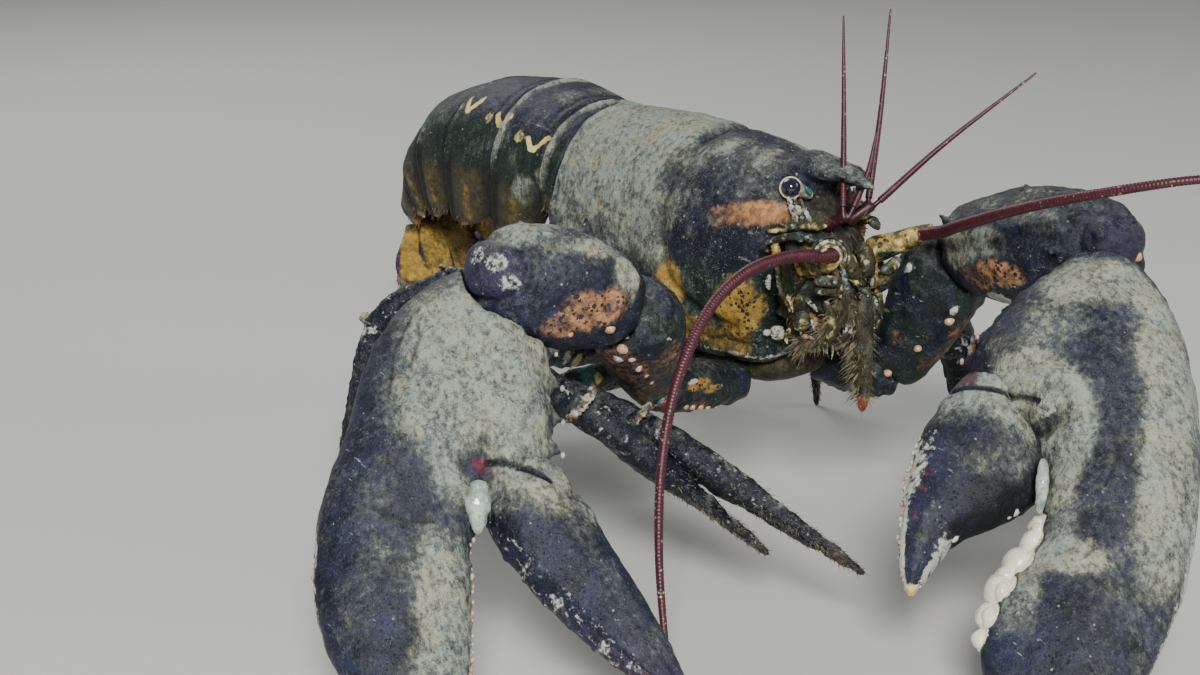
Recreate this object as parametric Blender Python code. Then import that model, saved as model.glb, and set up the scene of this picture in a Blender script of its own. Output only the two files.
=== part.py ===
"""American lobster, life size, standing with both claws hanging to the floor. Named sizes are millimetres."""
import bpy
import bmesh
import math
import numpy as np
from mathutils import Vector

MM = 0.001
GAP = 0.35

# Colours of the shell by region, linear RGB
SLATE = (0.065, 0.080, 0.120)
SHELL_DARK = (0.030, 0.038, 0.055)
TAIL_BROWN = (0.065, 0.0615, 0.0525)
BASE_YELLOW = (0.300, 0.270, 0.100)
OCHRE = (0.420, 0.230, 0.050)
OLIVE = (0.120, 0.100, 0.045)
MAROON = (0.150, 0.018, 0.030)
LEG_BLUE = (0.035, 0.042, 0.065)
EYE_BLACK = (0.008, 0.012, 0.025)


def clear_scene():
    for obj in list(bpy.data.objects):
        bpy.data.objects.remove(obj)


def vec(p):
    return Vector(p)


def add_mesh(name, verts, faces):
    """A mesh object from millimetre points, normals outward."""
    mesh = bpy.data.meshes.new(name)
    mesh.from_pydata([tuple(Vector(v) * MM) for v in verts], [], faces)
    bm = bmesh.new()
    bm.from_mesh(mesh)
    bmesh.ops.recalc_face_normals(bm, faces=bm.faces)
    bm.to_mesh(mesh)
    bm.free()
    obj = bpy.data.objects.new(name, mesh)
    bpy.context.scene.collection.objects.link(obj)
    return obj


def loft(name, rings):
    """A closed skin through rings that hold the same number of points."""
    count = len(rings[0])
    verts = [p for ring in rings for p in ring]
    faces = []
    for k in range(len(rings) - 1):
        low = k * count
        high = low + count
        for i in range(count):
            j = (i + 1) % count
            faces.append((low + i, low + j, high + j, high + i))
    faces.append(tuple(reversed(range(count))))
    faces.append(tuple(range(len(verts) - count, len(verts))))
    return add_mesh(name, verts, faces)


def oval(centre, e1, e2, a, b, power, count):
    """A superellipse ring about centre, half sizes a along e1 and b along e2."""
    ring = []
    for i in range(count):
        t = 2 * math.pi * (i + 0.5) / count
        c = math.cos(t)
        s = math.sin(t)
        u = math.copysign(abs(c) ** (2 / power), c)
        v = math.copysign(abs(s) ** (2 / power), s)
        ring.append(centre + e1 * (a * u) + e2 * (b * v))
    return ring


def curve_through(points, count):
    """Evenly numbered points on a smooth curve through the given ones."""
    pts = [vec(p) for p in points]
    ext = [pts[0] * 2 - pts[1]] + pts + [pts[-1] * 2 - pts[-2]]
    spans = len(pts) - 1
    out = []
    for i in range(count):
        t = i / (count - 1) * spans
        k = min(int(t), spans - 1)
        f = t - k
        p0, p1, p2, p3 = ext[k:k + 4]
        a = p1 * 2
        b = p2 - p0
        c = p0 * 2 - p1 * 5 + p2 * 4 - p3
        d = p1 * 3 - p0 - p2 * 3 + p3
        out.append((a + b * f + c * (f * f) + d * (f ** 3)) * 0.5)
    return out


def tangents(path):
    out = []
    for i in range(len(path)):
        a = path[max(i - 1, 0)]
        b = path[min(i + 1, len(path) - 1)]
        out.append((b - a).normalized())
    return out


def limb(name, path, sizes, side, count=12, power=2.3):
    """A tube along path; sizes gives half breadth along side and half thickness at each point."""
    path = [vec(p) for p in path]
    rings = []
    for p, t, (a, b) in zip(path, tangents(path), sizes):
        e1 = (vec(side) - t * vec(side).dot(t)).normalized()
        e2 = t.cross(e1)
        rings.append(oval(p, e1, e2, a, b, power, count))
    return loft(name, rings)


def cut_away(obj, other):
    """Takes the other object's volume out of obj."""
    mod = obj.modifiers.new("cut", "BOOLEAN")
    mod.operation = "DIFFERENCE"
    mod.object = other
    mod.solver = "EXACT"
    graph = bpy.context.evaluated_depsgraph_get()
    mesh = bpy.data.meshes.new_from_object(obj.evaluated_get(graph))
    obj.modifiers.clear()
    obj.data = mesh
    keep_largest(obj)


def keep_largest(obj):
    """Only the biggest closed surface of the object stays."""
    bm = bmesh.new()
    bm.from_mesh(obj.data)
    bmesh.ops.remove_doubles(bm, verts=bm.verts, dist=2e-6)
    bmesh.ops.dissolve_degenerate(bm, dist=2e-6, edges=bm.edges)
    bm.verts.index_update()
    seen = set()
    groups = []
    for start in bm.verts:
        if start.index in seen:
            continue
        stack = [start]
        seen.add(start.index)
        group = []
        while stack:
            v = stack.pop()
            group.append(v)
            for e in v.link_edges:
                w = e.other_vert(v)
                if w.index not in seen:
                    seen.add(w.index)
                    stack.append(w)
        groups.append(group)
    if len(groups) > 1:
        def spread(group):
            pts = np.array([v.co[:] for v in group])
            return float(np.prod(pts.max(axis=0) - pts.min(axis=0)))
        groups.sort(key=spread)
        gone = [v for group in groups[:-1] for v in group]
        bmesh.ops.delete(bm, geom=gone, context="VERTS")
    bmesh.ops.triangulate(bm, faces=[f for f in bm.faces if len(f.verts) > 4])
    bm.to_mesh(obj.data)
    bm.free()


def clear_of(obj, neighbour, gap=GAP):
    """Cuts obj back so that it meets its neighbour with a small gap."""
    grown = neighbour.copy()
    grown.data = neighbour.data.copy()
    bpy.context.scene.collection.objects.link(grown)
    bm = bmesh.new()
    bm.from_mesh(grown.data)
    bm.normal_update()
    moves = [(v, v.normal * (gap * MM * min(v.calc_shell_factor(), 2.5))) for v in bm.verts]
    for v, move in moves:
        v.co += move
    bm.to_mesh(grown.data)
    bm.free()
    cut_away(obj, grown)
    bpy.data.objects.remove(grown)


def fuse(obj, pieces):
    """Joins closed pieces to the object in one union."""
    group = bpy.data.collections.new(obj.name + "_fused")
    bpy.context.scene.collection.children.link(group)
    for piece in pieces:
        bpy.context.scene.collection.objects.unlink(piece)
        group.objects.link(piece)
    mod = obj.modifiers.new("fuse", "BOOLEAN")
    mod.operation = "UNION"
    mod.operand_type = "COLLECTION"
    mod.collection = group
    mod.solver = "EXACT"
    graph = bpy.context.evaluated_depsgraph_get()
    mesh = bpy.data.meshes.new_from_object(obj.evaluated_get(graph))
    obj.modifiers.clear()
    obj.data = mesh
    for piece in pieces:
        bpy.data.objects.remove(piece)
    bpy.data.collections.remove(group)
    keep_largest(obj)


def cut_at_floor(obj):
    """Flattens whatever reaches below the floor level."""
    bm = bmesh.new()
    bm.from_mesh(obj.data)
    geom = bm.verts[:] + bm.edges[:] + bm.faces[:]
    cut = bmesh.ops.bisect_plane(bm, geom=geom, plane_co=(0, 0, 0), plane_no=(0, 0, -1), clear_outer=True)
    rim = [e for e in cut["geom_cut"] if isinstance(e, bmesh.types.BMEdge)]
    if rim:
        bmesh.ops.contextual_create(bm, geom=rim)
    bm.to_mesh(obj.data)
    bm.free()


def paint(obj, colour, roughness):
    mat = bpy.data.materials.new(obj.name)
    mat.use_nodes = True
    shader = mat.node_tree.nodes["Principled BSDF"]
    shader.inputs["Base Color"].default_value = (*colour, 1)
    shader.inputs["Roughness"].default_value = roughness
    obj.data.materials.clear()
    obj.data.materials.append(mat)
    for poly in obj.data.polygons:
        poly.use_smooth = True


def cone(base, tip, radius, sides=5):
    """A spine from base to tip."""
    base = vec(base)
    tip = vec(tip)
    t = (tip - base).normalized()
    side = vec((0.3, 0.2, 1.0)) if abs(t.z) < 0.8 else vec((1.0, 0.2, 0.1))
    e1 = (side - t * side.dot(t)).normalized()
    e2 = t.cross(e1)
    return loft("spine", [oval(base, e1, e2, radius, radius, 2, sides),
                          oval(tip, e1, e2, radius * 0.16, radius * 0.16, 2, sides)])


def knob(centre, axis, radius, height, sides=6):
    """A rounded tooth standing up from centre along axis."""
    axis = vec(axis).normalized()
    side = vec((0.3, 0.2, 1.0)) if abs(axis.z) < 0.8 else vec((1.0, 0.2, 0.1))
    e1 = (side - axis * side.dot(axis)).normalized()
    e2 = axis.cross(e1)
    rings = []
    for rise, wide in ((-1.0, 0.85), (0.25, 1.0), (1.0, 0.45)):
        at = vec(centre) + axis * (rise * height)
        rings.append(oval(at, e1, e2, radius * wide, radius * wide, 2, sides))
    return loft("knob", rings)


def at_surface(path, sizes, side, share, angle):
    """Point and outward direction on a limb at a share of its length and an angle from its side direction."""
    path = [vec(p) for p in path]
    where = share * (len(path) - 1)
    k = min(int(where), len(path) - 2)
    f = where - k
    t = (path[k + 1] - path[k]).normalized()
    e1 = (vec(side) - t * vec(side).dot(t)).normalized()
    e2 = t.cross(e1)
    a = sizes[k][0] * (1 - f) + sizes[k + 1][0] * f
    b = sizes[k][1] * (1 - f) + sizes[k + 1][1] * f
    c = math.cos(math.radians(angle))
    d = math.sin(math.radians(angle))
    return path[k].lerp(path[k + 1], f) + e1 * (a * c) + e2 * (b * d), (e1 * c + e2 * d).normalized(), t


def limb_spines(path, sizes, side, rows):
    """Cones on a limb: each row is share, angle, height, radius and forward lean."""
    made = []
    for share, angle, height, radius, lean in rows:
        point, out, t = at_surface(path, sizes, side, share, angle)
        aim = (out + t * lean).normalized()
        made.append(cone(point - aim * (radius * 0.9), point + aim * height, radius))
    return made


# Carapace: top midline (y, z), lower edge (y, z) and half width
CARAPACE_STATIONS = (
    ((-1.5, 203.0), (7.0, 112.0), 44.0),
    ((-5.0, 205.5), (3.0, 106.0), 46.5),
    ((-11.0, 205.0), (-3.0, 104.0), 46.0),
    ((-36.0, 207.0), (-32.0, 100.0), 47.5),
    ((-62.0, 207.5), (-64.0, 98.0), 47.0),
    ((-80.0, 206.5), (-92.0, 98.0), 45.5),
    ((-87.0, 203.2), (-102.0, 98.0), 43.2),
    ((-94.0, 205.0), (-110.0, 98.0), 44.0),
    ((-114.0, 203.5), (-122.0, 98.0), 42.0),
    ((-134.0, 201.0), (-132.0, 98.5), 39.0),
    ((-146.0, 198.0), (-139.0, 99.0), 36.0),
    ((-152.0, 193.0), (-143.0, 101.0), 32.5),
)
CARAPACE_SIDE = 18
# Shape of the section: its turn in half circles, fullness of the flanks, share of the width left below
SECTION_TURN = 0.93
FLANK_FULLNESS = 0.86
DEPTH_SPREAD = 0.96
LOWER_INSET = 0.66


def carapace_ring(top, low, width):
    """A section that is round above and draws in to a flat lower side."""
    top = vec((0, top[0], top[1]))
    low = vec((0, low[0], low[1]))
    depth = (low - top).length
    down = (low - top).normalized()
    ring = []
    for i in range(CARAPACE_SIDE + 1):
        t = i / CARAPACE_SIDE
        a = math.pi * SECTION_TURN * t
        x = width * math.sin(a) ** FLANK_FULLNESS
        d = depth * (0.5 - 0.5 * math.cos(math.pi * t ** DEPTH_SPREAD))
        if t > 0.5:
            x = max(x, width * (LOWER_INSET + (1 - LOWER_INSET) * math.cos((t - 0.5) * math.pi)))
        ring.append(top + down * d + vec((x if i else 0, 0, 0)))
    left = ring[1:]
    right = [vec((-p.x, p.y, p.z)) for p in reversed(left)]
    return [ring[0]] + left + right


ROSTRUM = (((-140.0, 195.0), 15.0, 8.0), ((-152.0, 195.0), 12.0, 6.5), ((-163.0, 194.5), 8.0, 5.0),
           ((-173.0, 193.0), 5.0, 3.5), ((-181.0, 191.0), 2.4, 2.0), ((-186.0, 190.0), 0.7, 0.7))


# Rostrum teeth, the spine behind each eye, the one beside each antenna and the one below it
HEAD_SPINES = (
    ((5.0, -158.0, 195.0), (11.5, -165.0, 196.5), 2.6),
    ((3.6, -166.0, 194.0), (8.5, -173.5, 195.5), 2.3),
    ((2.2, -173.5, 193.0), (5.6, -180.5, 194.0), 1.9),
    ((16.0, -142.0, 191.0), (19.5, -151.0, 194.5), 3.2),
    ((27.0, -146.0, 172.0), (31.5, -159.0, 172.5), 3.6),
    ((31.0, -144.0, 160.0), (35.0, -152.0, 159.0), 3.0),
)


def make_carapace():
    obj = loft("carapace", [carapace_ring(*s) for s in CARAPACE_STATIONS])
    path = [(0, y, z) for (y, z), a, b in ROSTRUM]
    beak = limb("rostrum", path, [(a, b) for p, a, b in ROSTRUM], (1, 0, 0), 10, 2.0)
    pieces = [beak]
    for sign in (-1, 1):
        for root, tip, radius in HEAD_SPINES:
            pieces.append(cone((sign * root[0], root[1], root[2]), (sign * tip[0], tip[1], tip[2]), radius))
    fuse(obj, pieces)
    paint(obj, SLATE, 0.55)
    return obj


# Head front: ring centres (y, z), half width, half height
HEAD_FRONT = (((-140.0, 146.0), 30.0, 40.0), ((-156.0, 146.0), 28.0, 37.0), ((-163.0, 148.0), 24.0, 32.0),
              ((-169.0, 150.0), 17.0, 24.0), ((-172.5, 152.0), 9.0, 14.0))


def make_head_front(carapace):
    path = [(0, y, z) for (y, z), a, b in HEAD_FRONT]
    obj = limb("head_front", path, [(a, b) for p, a, b in HEAD_FRONT], (1, 0, 0), 20, 2.4)
    clear_of(obj, carapace)
    paint(obj, OLIVE, 0.7)
    return obj


THORAX = (((4.0, 98.0), 20.0, 7.0), ((-10.0, 94.0), 24.0, 9.0), ((-60.0, 91.5), 26.0, 9.0),
          ((-110.0, 91.0), 26.0, 9.0), ((-135.0, 93.0), 22.0, 8.0), ((-146.0, 96.0), 15.0, 6.0))


def make_thorax(carapace, head):
    path = [(0, y, z) for (y, z), a, b in THORAX]
    obj = limb("thorax_underside", path, [(a, b) for p, a, b in THORAX], (1, 0, 0), 14, 3.2)
    clear_of(obj, carapace)
    clear_of(obj, head)
    paint(obj, OCHRE, 0.65)
    return obj


# Abdomen: at each joint the top midline (y, z), pleuron tip (y, z) and half width
JOINTS = (
    ((-6.0, 200.0), (2.0, 128.0), 41.0),
    ((9.0, 205.5), (16.0, 128.0), 43.5),
    ((48.0, 212.0), (57.0, 126.0), 46.0),
    ((95.0, 207.0), (96.0, 126.0), 45.5),
    ((130.0, 195.0), (121.0, 125.0), 43.0),
    ((152.0, 171.0), (138.0, 121.0), 39.0),
    ((167.0, 131.0), (148.0, 112.0), 32.0),
)
ARCH_SIDE = 12
ARCH_SHARE = 0.62
PLATE_DRAW_IN = 0.10
PLEURON_THICK = 3.6
ROOF = 0.60
FIRST_DROP = 0.72
STEP = 0.965


def arch_ring(top, tip, width, drop, roof):
    """An arch with side plates that reach the share drop of the depth, closed below at the share roof."""
    top = vec((0, top[0], top[1]))
    tip = vec((0, tip[0], tip[1]))
    down = tip - top
    outer = []
    for i in range(ARCH_SIDE + 1):
        t = i / ARCH_SIDE
        a = min(t / ARCH_SHARE, 1.0) * math.pi / 2
        below = max(0, t - ARCH_SHARE) / (1 - ARCH_SHARE)
        d = 0.5 * (1 - math.cos(a)) + (drop - 0.5) * below
        x = width * math.sin(a) ** 0.9 * (1 - PLATE_DRAW_IN * below)
        outer.append(top + down * d + vec((x, 0, 0)))
    inner_x = outer[-1].x - PLEURON_THICK
    floor = min(roof, drop - 0.02)
    inner = [top + down * (drop - 0.01) + vec((inner_x, 0, 0)), top + down * floor + vec((inner_x - 4, 0, 0)),
             top + down * (floor - 0.02) + vec((width * 0.4, 0, 0))]
    half = outer[1:] + inner
    middle = top + down * (floor + 0.01)
    return [outer[0]] + half + [middle] + [vec((-p.x, p.y, p.z)) for p in reversed(half)]


def lerp(a, b, t):
    return tuple(p * (1 - t) + q * t for p, q in zip(a, b))


# Share of the segment, share of the width, plate drop
SEGMENT_PROFILE = ((0.0, STEP, 0.80), (0.12, STEP + 0.005, 0.86), (0.20, 0.99, 0.90), (0.5, 1.0, 0.96),
                   (0.80, 1.0, 1.0), (0.93, 1.005, 0.97), (1.0, 1.0, 0.88))


# Swimmeret pairs by segment, as the share of the segment's depth that they reach
SWIMMERETS = {2: 0.98, 3: 0.97, 4: 0.95, 5: 0.92}


def make_abdomen(number, carapace):
    (t0, p0, w0), (t1, p1, w1) = JOINTS[number - 1], JOINTS[number]
    span = (vec((0, *t1)) - vec((0, *t0))).length
    shut = GAP / span
    rings = []
    for share, wide, drop in SEGMENT_PROFILE:
        s = shut / 2 + share * (1 - shut)
        top = lerp(t0, t1, s)
        tip = lerp(p0, p1, s)
        width = (w0 * (1 - s) + w1 * s) * wide
        centre = vec((0, *top)) * 0.5 + vec((0, *tip)) * 0.5
        lift = (vec((0, *top)) - centre).normalized() * (1 - wide) * width
        top = (top[0] - lift.y, top[1] - lift.z)
        rings.append(arch_ring(top, tip, width, drop if number > 1 else min(drop, FIRST_DROP), ROOF))
    obj = loft("abdomen_%d" % number, rings)
    if number in SWIMMERETS:
        top = vec((0, *lerp(t0, t1, 0.5)))
        down = vec((0, *lerp(p0, p1, 0.5))) - top
        length = SWIMMERETS[number]
        pieces = []
        for sign in (-1, 1):
            root = top + down * 0.54 + vec((sign * w1 * 0.42, 0, 0))
            end = top + down * length + vec((sign * w1 * 0.50, 5.0, 0))
            pieces.append(paddle(root, end, 8.5, 1.6))
        fuse(obj, pieces)
    if number == 1:
        clear_of(obj, carapace)
    paint(obj, TAIL_BROWN if number > 1 else SHELL_DARK, 0.5)
    return obj


# Tail fan: root (x, y, z), tip, half breadth at root, middle and tip
TELSON = ((0, 163.0, 122.0), (0, 131.0, 79.0), (15.0, 19.0, 14.0))
FAN = {
    "uropod_inner": ((17.5, 154.5, 114.0), (27.0, 129.0, 81.0), (7.0, 12.0, 11.0), 3.6),
    "uropod_outer": ((26.5, 152.0, 113.0), (46.0, 125.0, 85.0), (6.5, 13.5, 12.5), -0.5),
}
FAN_THICK = 2.2


def blade(name, root, tip, halves, side, thick, count=12):
    """A thin leaf from root to tip, rounded at its end."""
    root = vec(root)
    tip = vec(tip)
    path = [root.lerp(tip, t) for t in (0, 0.12, 0.35, 0.6, 0.82, 0.94, 1.0)]
    a0, a1, a2 = halves
    sizes = [(a0, thick), (a0 * 1.05, thick), (0.5 * (a0 + a1), thick * 0.95), (a1, thick * 0.85),
             (0.5 * (a1 + a2) * 1.03, thick * 0.7), (a2 * 0.85, thick * 0.55), (a2 * 0.5, thick * 0.35)]
    return limb(name, path, sizes, side, count, 2.4)


def paddle(root, tip, wide, thick):
    """A small leaf of few faces."""
    root = vec(root)
    tip = vec(tip)
    path = [root.lerp(tip, t) for t in (0, 0.45, 0.85, 1.0)]
    sizes = [(wide * 0.5, thick), (wide, thick * 0.8), (wide * 0.8, thick * 0.6), (wide * 0.35, thick * 0.4)]
    return limb("paddle", path, sizes, (1, 0, 0), 6, 2.2)


def make_tail_fan(last):
    made = []
    root, tip, halves = TELSON
    telson = blade("telson", root, tip, halves, (1, 0, 0), 3.4)
    clear_of(telson, last)
    paint(telson, OLIVE, 0.5)
    made.append(telson)
    for sign, side_name in ((-1, "right"), (1, "left")):
        for kind, (root, tip, halves, shift) in FAN.items():
            r = (sign * root[0], root[1], root[2])
            t = (sign * tip[0], tip[1], tip[2])
            lean = (sign * 1.0, 0.0, 0.0)
            lift = vec((0, -0.74, 0.67)) * shift
            obj = blade("%s_%s" % (kind, side_name), vec(r) + lift, vec(t) + lift, halves, lean, FAN_THICK)
            clear_of(obj, last, 0.55)
            for other in made:
                clear_of(obj, other)
            paint(obj, OCHRE, 0.5)
            made.append(obj)
    return made


EYE_RADIUS = 4.6
# Eye: points of the stalk and the ball for the left side, and half breadth at each
EYE = (((10.0, -154.0, 183.5), 2.6), ((13.0, -153.4, 184.9), 2.8), ((16.0, -152.6, 186.3), 3.4),
       ((18.6, -151.9, 187.4), 4.4), ((21.4, -151.3, 188.2), EYE_RADIUS), ((23.6, -151.0, 188.5), 3.5),
       ((25.0, -150.9, 188.6), 1.4))


def make_eye(sign, name, carapace, head):
    """Makes an eye that sits in a notch at the front edge of the carapace."""
    path = [(sign * x, y, z) for (x, y, z), r in EYE]
    obj = limb(name, path, [(r, r) for p, r in EYE], (0, 1, 0), 12, 2.0)
    clear_of(obj, head)
    clear_of(carapace, obj)
    paint(obj, EYE_BLACK, 0.15)
    return obj


# Antennules: base, stem end, and two whips each
ANTENNULE = {
    "left": ((7.0, -160.0, 168.0), (17.5, -168.0, 177.0),
             (((17, -166, 180), (32, -158, 220), (46, -149, 266)),
              ((20.5, -170, 179), (47, -186, 206), (82, -210, 239)))),
    "right": ((-7.0, -160.0, 168.0), (-4.0, -172.0, 176.0),
              (((-5, -170, 180), (3, -161, 220), (11, -151, 266)),
               ((-1.5, -173.5, 180), (7, -174, 196), (15, -171, 213)))),
}
SHORT_WHIP_THICK = 1.7
SHORT_WHIP_TIP = 0.45


def make_antennule(side, head, carapace):
    base, end, whips = ANTENNULE[side]
    obj = limb("antennule_" + side, curve_through((base, lerp(base, end, 0.5), end), 4),
               [(4.0, 3.6), (3.6, 3.3), (3.2, 3.0), (2.6, 2.6)], (1, 0, 0), 8, 2.0)
    pieces = []
    for k, whip in enumerate(whips):
        shift = vec(((2 * k - 1) * 1.1, (1 - 2 * k) * 0.9, 0))
        start = vec(end) + shift - (vec(whip[1]) - vec(end)).normalized() * 2.0
        path = curve_through((start,) + whip, 7)
        radii = [SHORT_WHIP_THICK - (SHORT_WHIP_THICK - SHORT_WHIP_TIP) * i / 6 for i in range(7)]
        pieces.append(limb("whip%d" % k, path, [(r, r) for r in radii], (1, 0, 0), 6, 2.0))
    fuse(obj, pieces)
    clear_of(obj, carapace)
    clear_of(obj, head)
    paint(obj, MAROON, 0.5)
    return obj


# Antennae: jointed base, then the whip through these points
ANTENNA_BASE = {
    "right": ((-19.0, -162.0, 152.0), (-23.0, -174.0, 156.0), (-24.0, -181.0, 160.0), (-26.5, -184.5, 162.5)),
    "left": ((19.0, -162.0, 152.0), (26.0, -171.0, 156.0), (31.0, -180.0, 160.0), (33.0, -187.0, 163.5)),
}
ANTENNA_WHIP = {
    "right": ((-29, -185, 163), (-50, -181, 165.5), (-74, -179, 163), (-96, -180, 153), (-116, -186, 138),
              (-133, -193, 118), (-147, -202, 92), (-156, -211, 62), (-163, -222, 34), (-174, -240, 14),
              (-188, -268, 6), (-200, -300, 4.5)),
    "left": ((33.2, -188.5, 164.3), (29, -203, 169), (21, -219, 176), (11, -250, 189), (7, -279, 200),
             (8, -304, 208), (14, -324, 214), (24, -341, 218), (42, -362, 220), (66, -380, 219),
             (92, -394, 214), (120, -404, 206)),
}
# Leaf-shaped scale beside each base: root and tip
ANTENNA_SCALE = {"right": ((-29.0, -162.0, 157.0), (-36.0, -189.0, 168.0)),
                 "left": ((30.5, -162.0, 157.0), (37.5, -189.0, 168.0))}
ANTENNA_PIECES = 3
WHIP_THICK = 3.0
WHIP_TIP = 0.55


def make_antenna(side, head):
    base = limb("antenna_base_" + side, ANTENNA_BASE[side], [(7.5, 7.0), (6.6, 6.2), (5.2, 5.0), (4.2, 4.2)],
                (1, 0, 0), 10, 2.2)
    root, tip = ANTENNA_SCALE[side]
    fuse(base, [blade("scale", root, tip, (4.5, 5.0, 2.2), (1, 0, 0.2), 1.3)])
    clear_of(base, head, 0.45)
    paint(base, BASE_YELLOW, 0.5)
    path = curve_through(ANTENNA_WHIP[side], 49)
    steps = (len(path) - 1) // ANTENNA_PIECES
    made = [base]
    for k in range(ANTENNA_PIECES):
        part = path[k * steps:(k + 1) * steps + 1]
        if k:
            part[0] = part[0] + (part[1] - part[0]).normalized() * GAP
        sizes = []
        for i in range(len(part)):
            t = (k * steps + i) / (len(path) - 1)
            r = WHIP_THICK * (1 - t) ** 0.8 + WHIP_TIP * t
            sizes.append((r, r))
        obj = limb("antenna_%s_%d" % (side, k + 1), part, sizes, (0.1, 0.2, 1.0), 7, 2.0)
        if k == 0:
            clear_of(obj, base)
        paint(obj, MAROON, 0.5)
        made.append(obj)
    return made


MAXILLIPED = {
    "left": (((5.0, -163.0, 148.0), (3.0, -173.0, 141.0), (1.5, -178.5, 127.0), (1.0, -180.0, 111.0),
              (1.5, -180.5, 101.0), (2.5, -181.0, 92.0), (3.0, -180.0, 79.0)),
             ((5.0, 6.0), (6.2, 6.6), (6.4, 6.2), (5.6, 5.4), (4.4, 4.6), (4.2, 4.0), (1.6, 1.6))),
    "right": (((-13.0, -150.0, 118.0), (-13.5, -163.0, 112.0), (-13.0, -170.0, 118.0), (-11.5, -174.0, 128.0),
               (-10.0, -176.5, 136.0), (-8.0, -177.5, 143.0)),
              ((5.0, 5.4), (5.8, 6.0), (5.4, 5.4), (4.8, 4.8), (3.8, 3.8), (1.6, 1.6))),
}


def make_maxilliped(side, head):
    path, sizes = MAXILLIPED[side]
    obj = limb("maxilliped_" + side, path, sizes, (1, 0, 0), 10, 2.3)
    clear_of(obj, head)
    paint(obj, OLIVE, 0.75)
    return obj


# Great claws: joints, sizes and outlines. u runs from the wrist to the tip, v across the broad face
CLAWS = {
    "right": {
        "hip": (-26.0, -124.0, 87.0), "knee1": (-86.0, -127.0, 97.0), "knee2": (-122.0, -154.0, 151.0),
        "carpus_end": (-190.0, -128.0, 172.0), "wrist": (-173.0, -124.0, 157.0),
        "tip": (-287.0, -227.0, -1.0),
        "facing": (-0.541, -0.748, 0.384),
        "palm": ((-6, 20, -12, 17), (8, 39, -17, 20), (22, 48, -23, 22.5), (45, 54, -28, 24),
                 (75, 57, -31, 23.5), (92, 60.5, -24, 21), (104, 62, -7, 18.5), (116, 63, -1.5, 16.5), (140, 61, -5.5, 14.5),
                 (165, 52, -8.5, 12.5), (185, 39, -8.5, 10.5), (205, 23, -6.5, 7.5), (216, 11, -3.5, 4.5),
                 (221, 4.0, -0.5, 2.0)),
        "finger": ((76, -14, 14, 14), (88, -18, 19, 17), (104, -30, 20.5, 16), (124, -48, 18.5, 13.5),
                   (145, -69, 14.5, 10.5), (160, -85, 9.0, 7.5), (169, -96, 2.2, 2.2)),
        "out": 1,
    },
    "left": {
        "hip": (26.0, -124.0, 87.0), "knee1": (54.0, -154.0, 81.0), "knee2": (62.0, -186.0, 154.0),
        "carpus_end": (59.0, -286.0, 171.0), "wrist": (49.0, -266.0, 158.0), "tip": (-104.0, -362.0, -1.0),
        "facing": (-0.751, -0.551, 0.364),
        "palm": ((-6, 22, -8, 20), (8, 37, -12, 25), (22, 46, -25, 29), (40, 53, -36.5, 31),
                 (60, 57.5, -42, 31), (76, 60, -30, 30), (92, 61.5, -8, 27), (112, 62, -1, 23.5), (140, 60.5, -1.5, 21),
                 (160, 58, -13, 18.5), (185, 51, -18.5, 16), (210, 36.5, -14, 12), (229, 19, -7, 7.5),
                 (240, 5, -1.5, 2.5)),
        "finger": ((62, 17, 12.0, 17), (74, 27, 19.5, 20), (90, 30, 24.5, 20), (104, 31.5, 27.0, 19),
                   (116, 35.5, 25.5, 17.5), (126, 41.5, 19.5, 15.5), (136, 46.5, 13.5, 13.5),
                   (148, 49, 10.0, 11.5), (162, 50, 5.5, 7.5), (170, 50, 1.8, 2.4)),
        "out": -1,
    },
}
# Teeth on the fixed finger and on the moving finger: u, v, radius, height
CUTTER_TEETH = {"fixed": (118, 206, 12, 2.2, 2.4), "moving": (108, 158, 8, 2.2, 2.2)}
MOLARS = {
    "fixed": ((131, 1.0, 5.0, 5.2), (139.5, 2.8, 5.8, 6.0), (150, 7.0, 7.6, 7.4), (163, 13.2, 7.4, 7.2),
              (175, 17.0, 5.4, 5.4), (185, 18.4, 3.8, 3.8)),
    "moving": ((123.5, 14.5, 3.8, 3.6), (130, 27.5, 4.0, 3.6), (141, 37.5, 3.0, 2.8)),
}
# Heel of the crusher's moving finger, above the molars: u, v, height, radius
HEEL = (115.5, 14.0, 9.0, 11.0)
PALM_SPINES = {
    "right": ((22, -23, 5.0, 4.0), (38, -27, 5.5, 4.4), (54, -29, 5.5, 4.4), (69, -31, 5.0, 4.0)),
    "left": ((24, -26, 5.0, 4.6), (38, -35, 5.5, 5.0), (52, -40.5, 5.0, 4.8)),
}


def claw_frame(side):
    data = CLAWS[side]
    wrist = vec(data["wrist"])
    along = vec(data["tip"]) - wrist
    length = along.length
    along.normalize()
    facing = vec(data["facing"])
    facing = (facing - along * facing.dot(along)).normalized()
    across = along.cross(facing)
    return wrist, along, across, facing, length


def edge_at(profile, u):
    """The inner edge of a palm profile at u."""
    for (low, _, before, _), (high, _, after, _) in zip(profile, profile[1:]):
        if low <= u <= high:
            return before + (after - before) * (u - low) / (high - low)
    return profile[-1][2]


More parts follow.
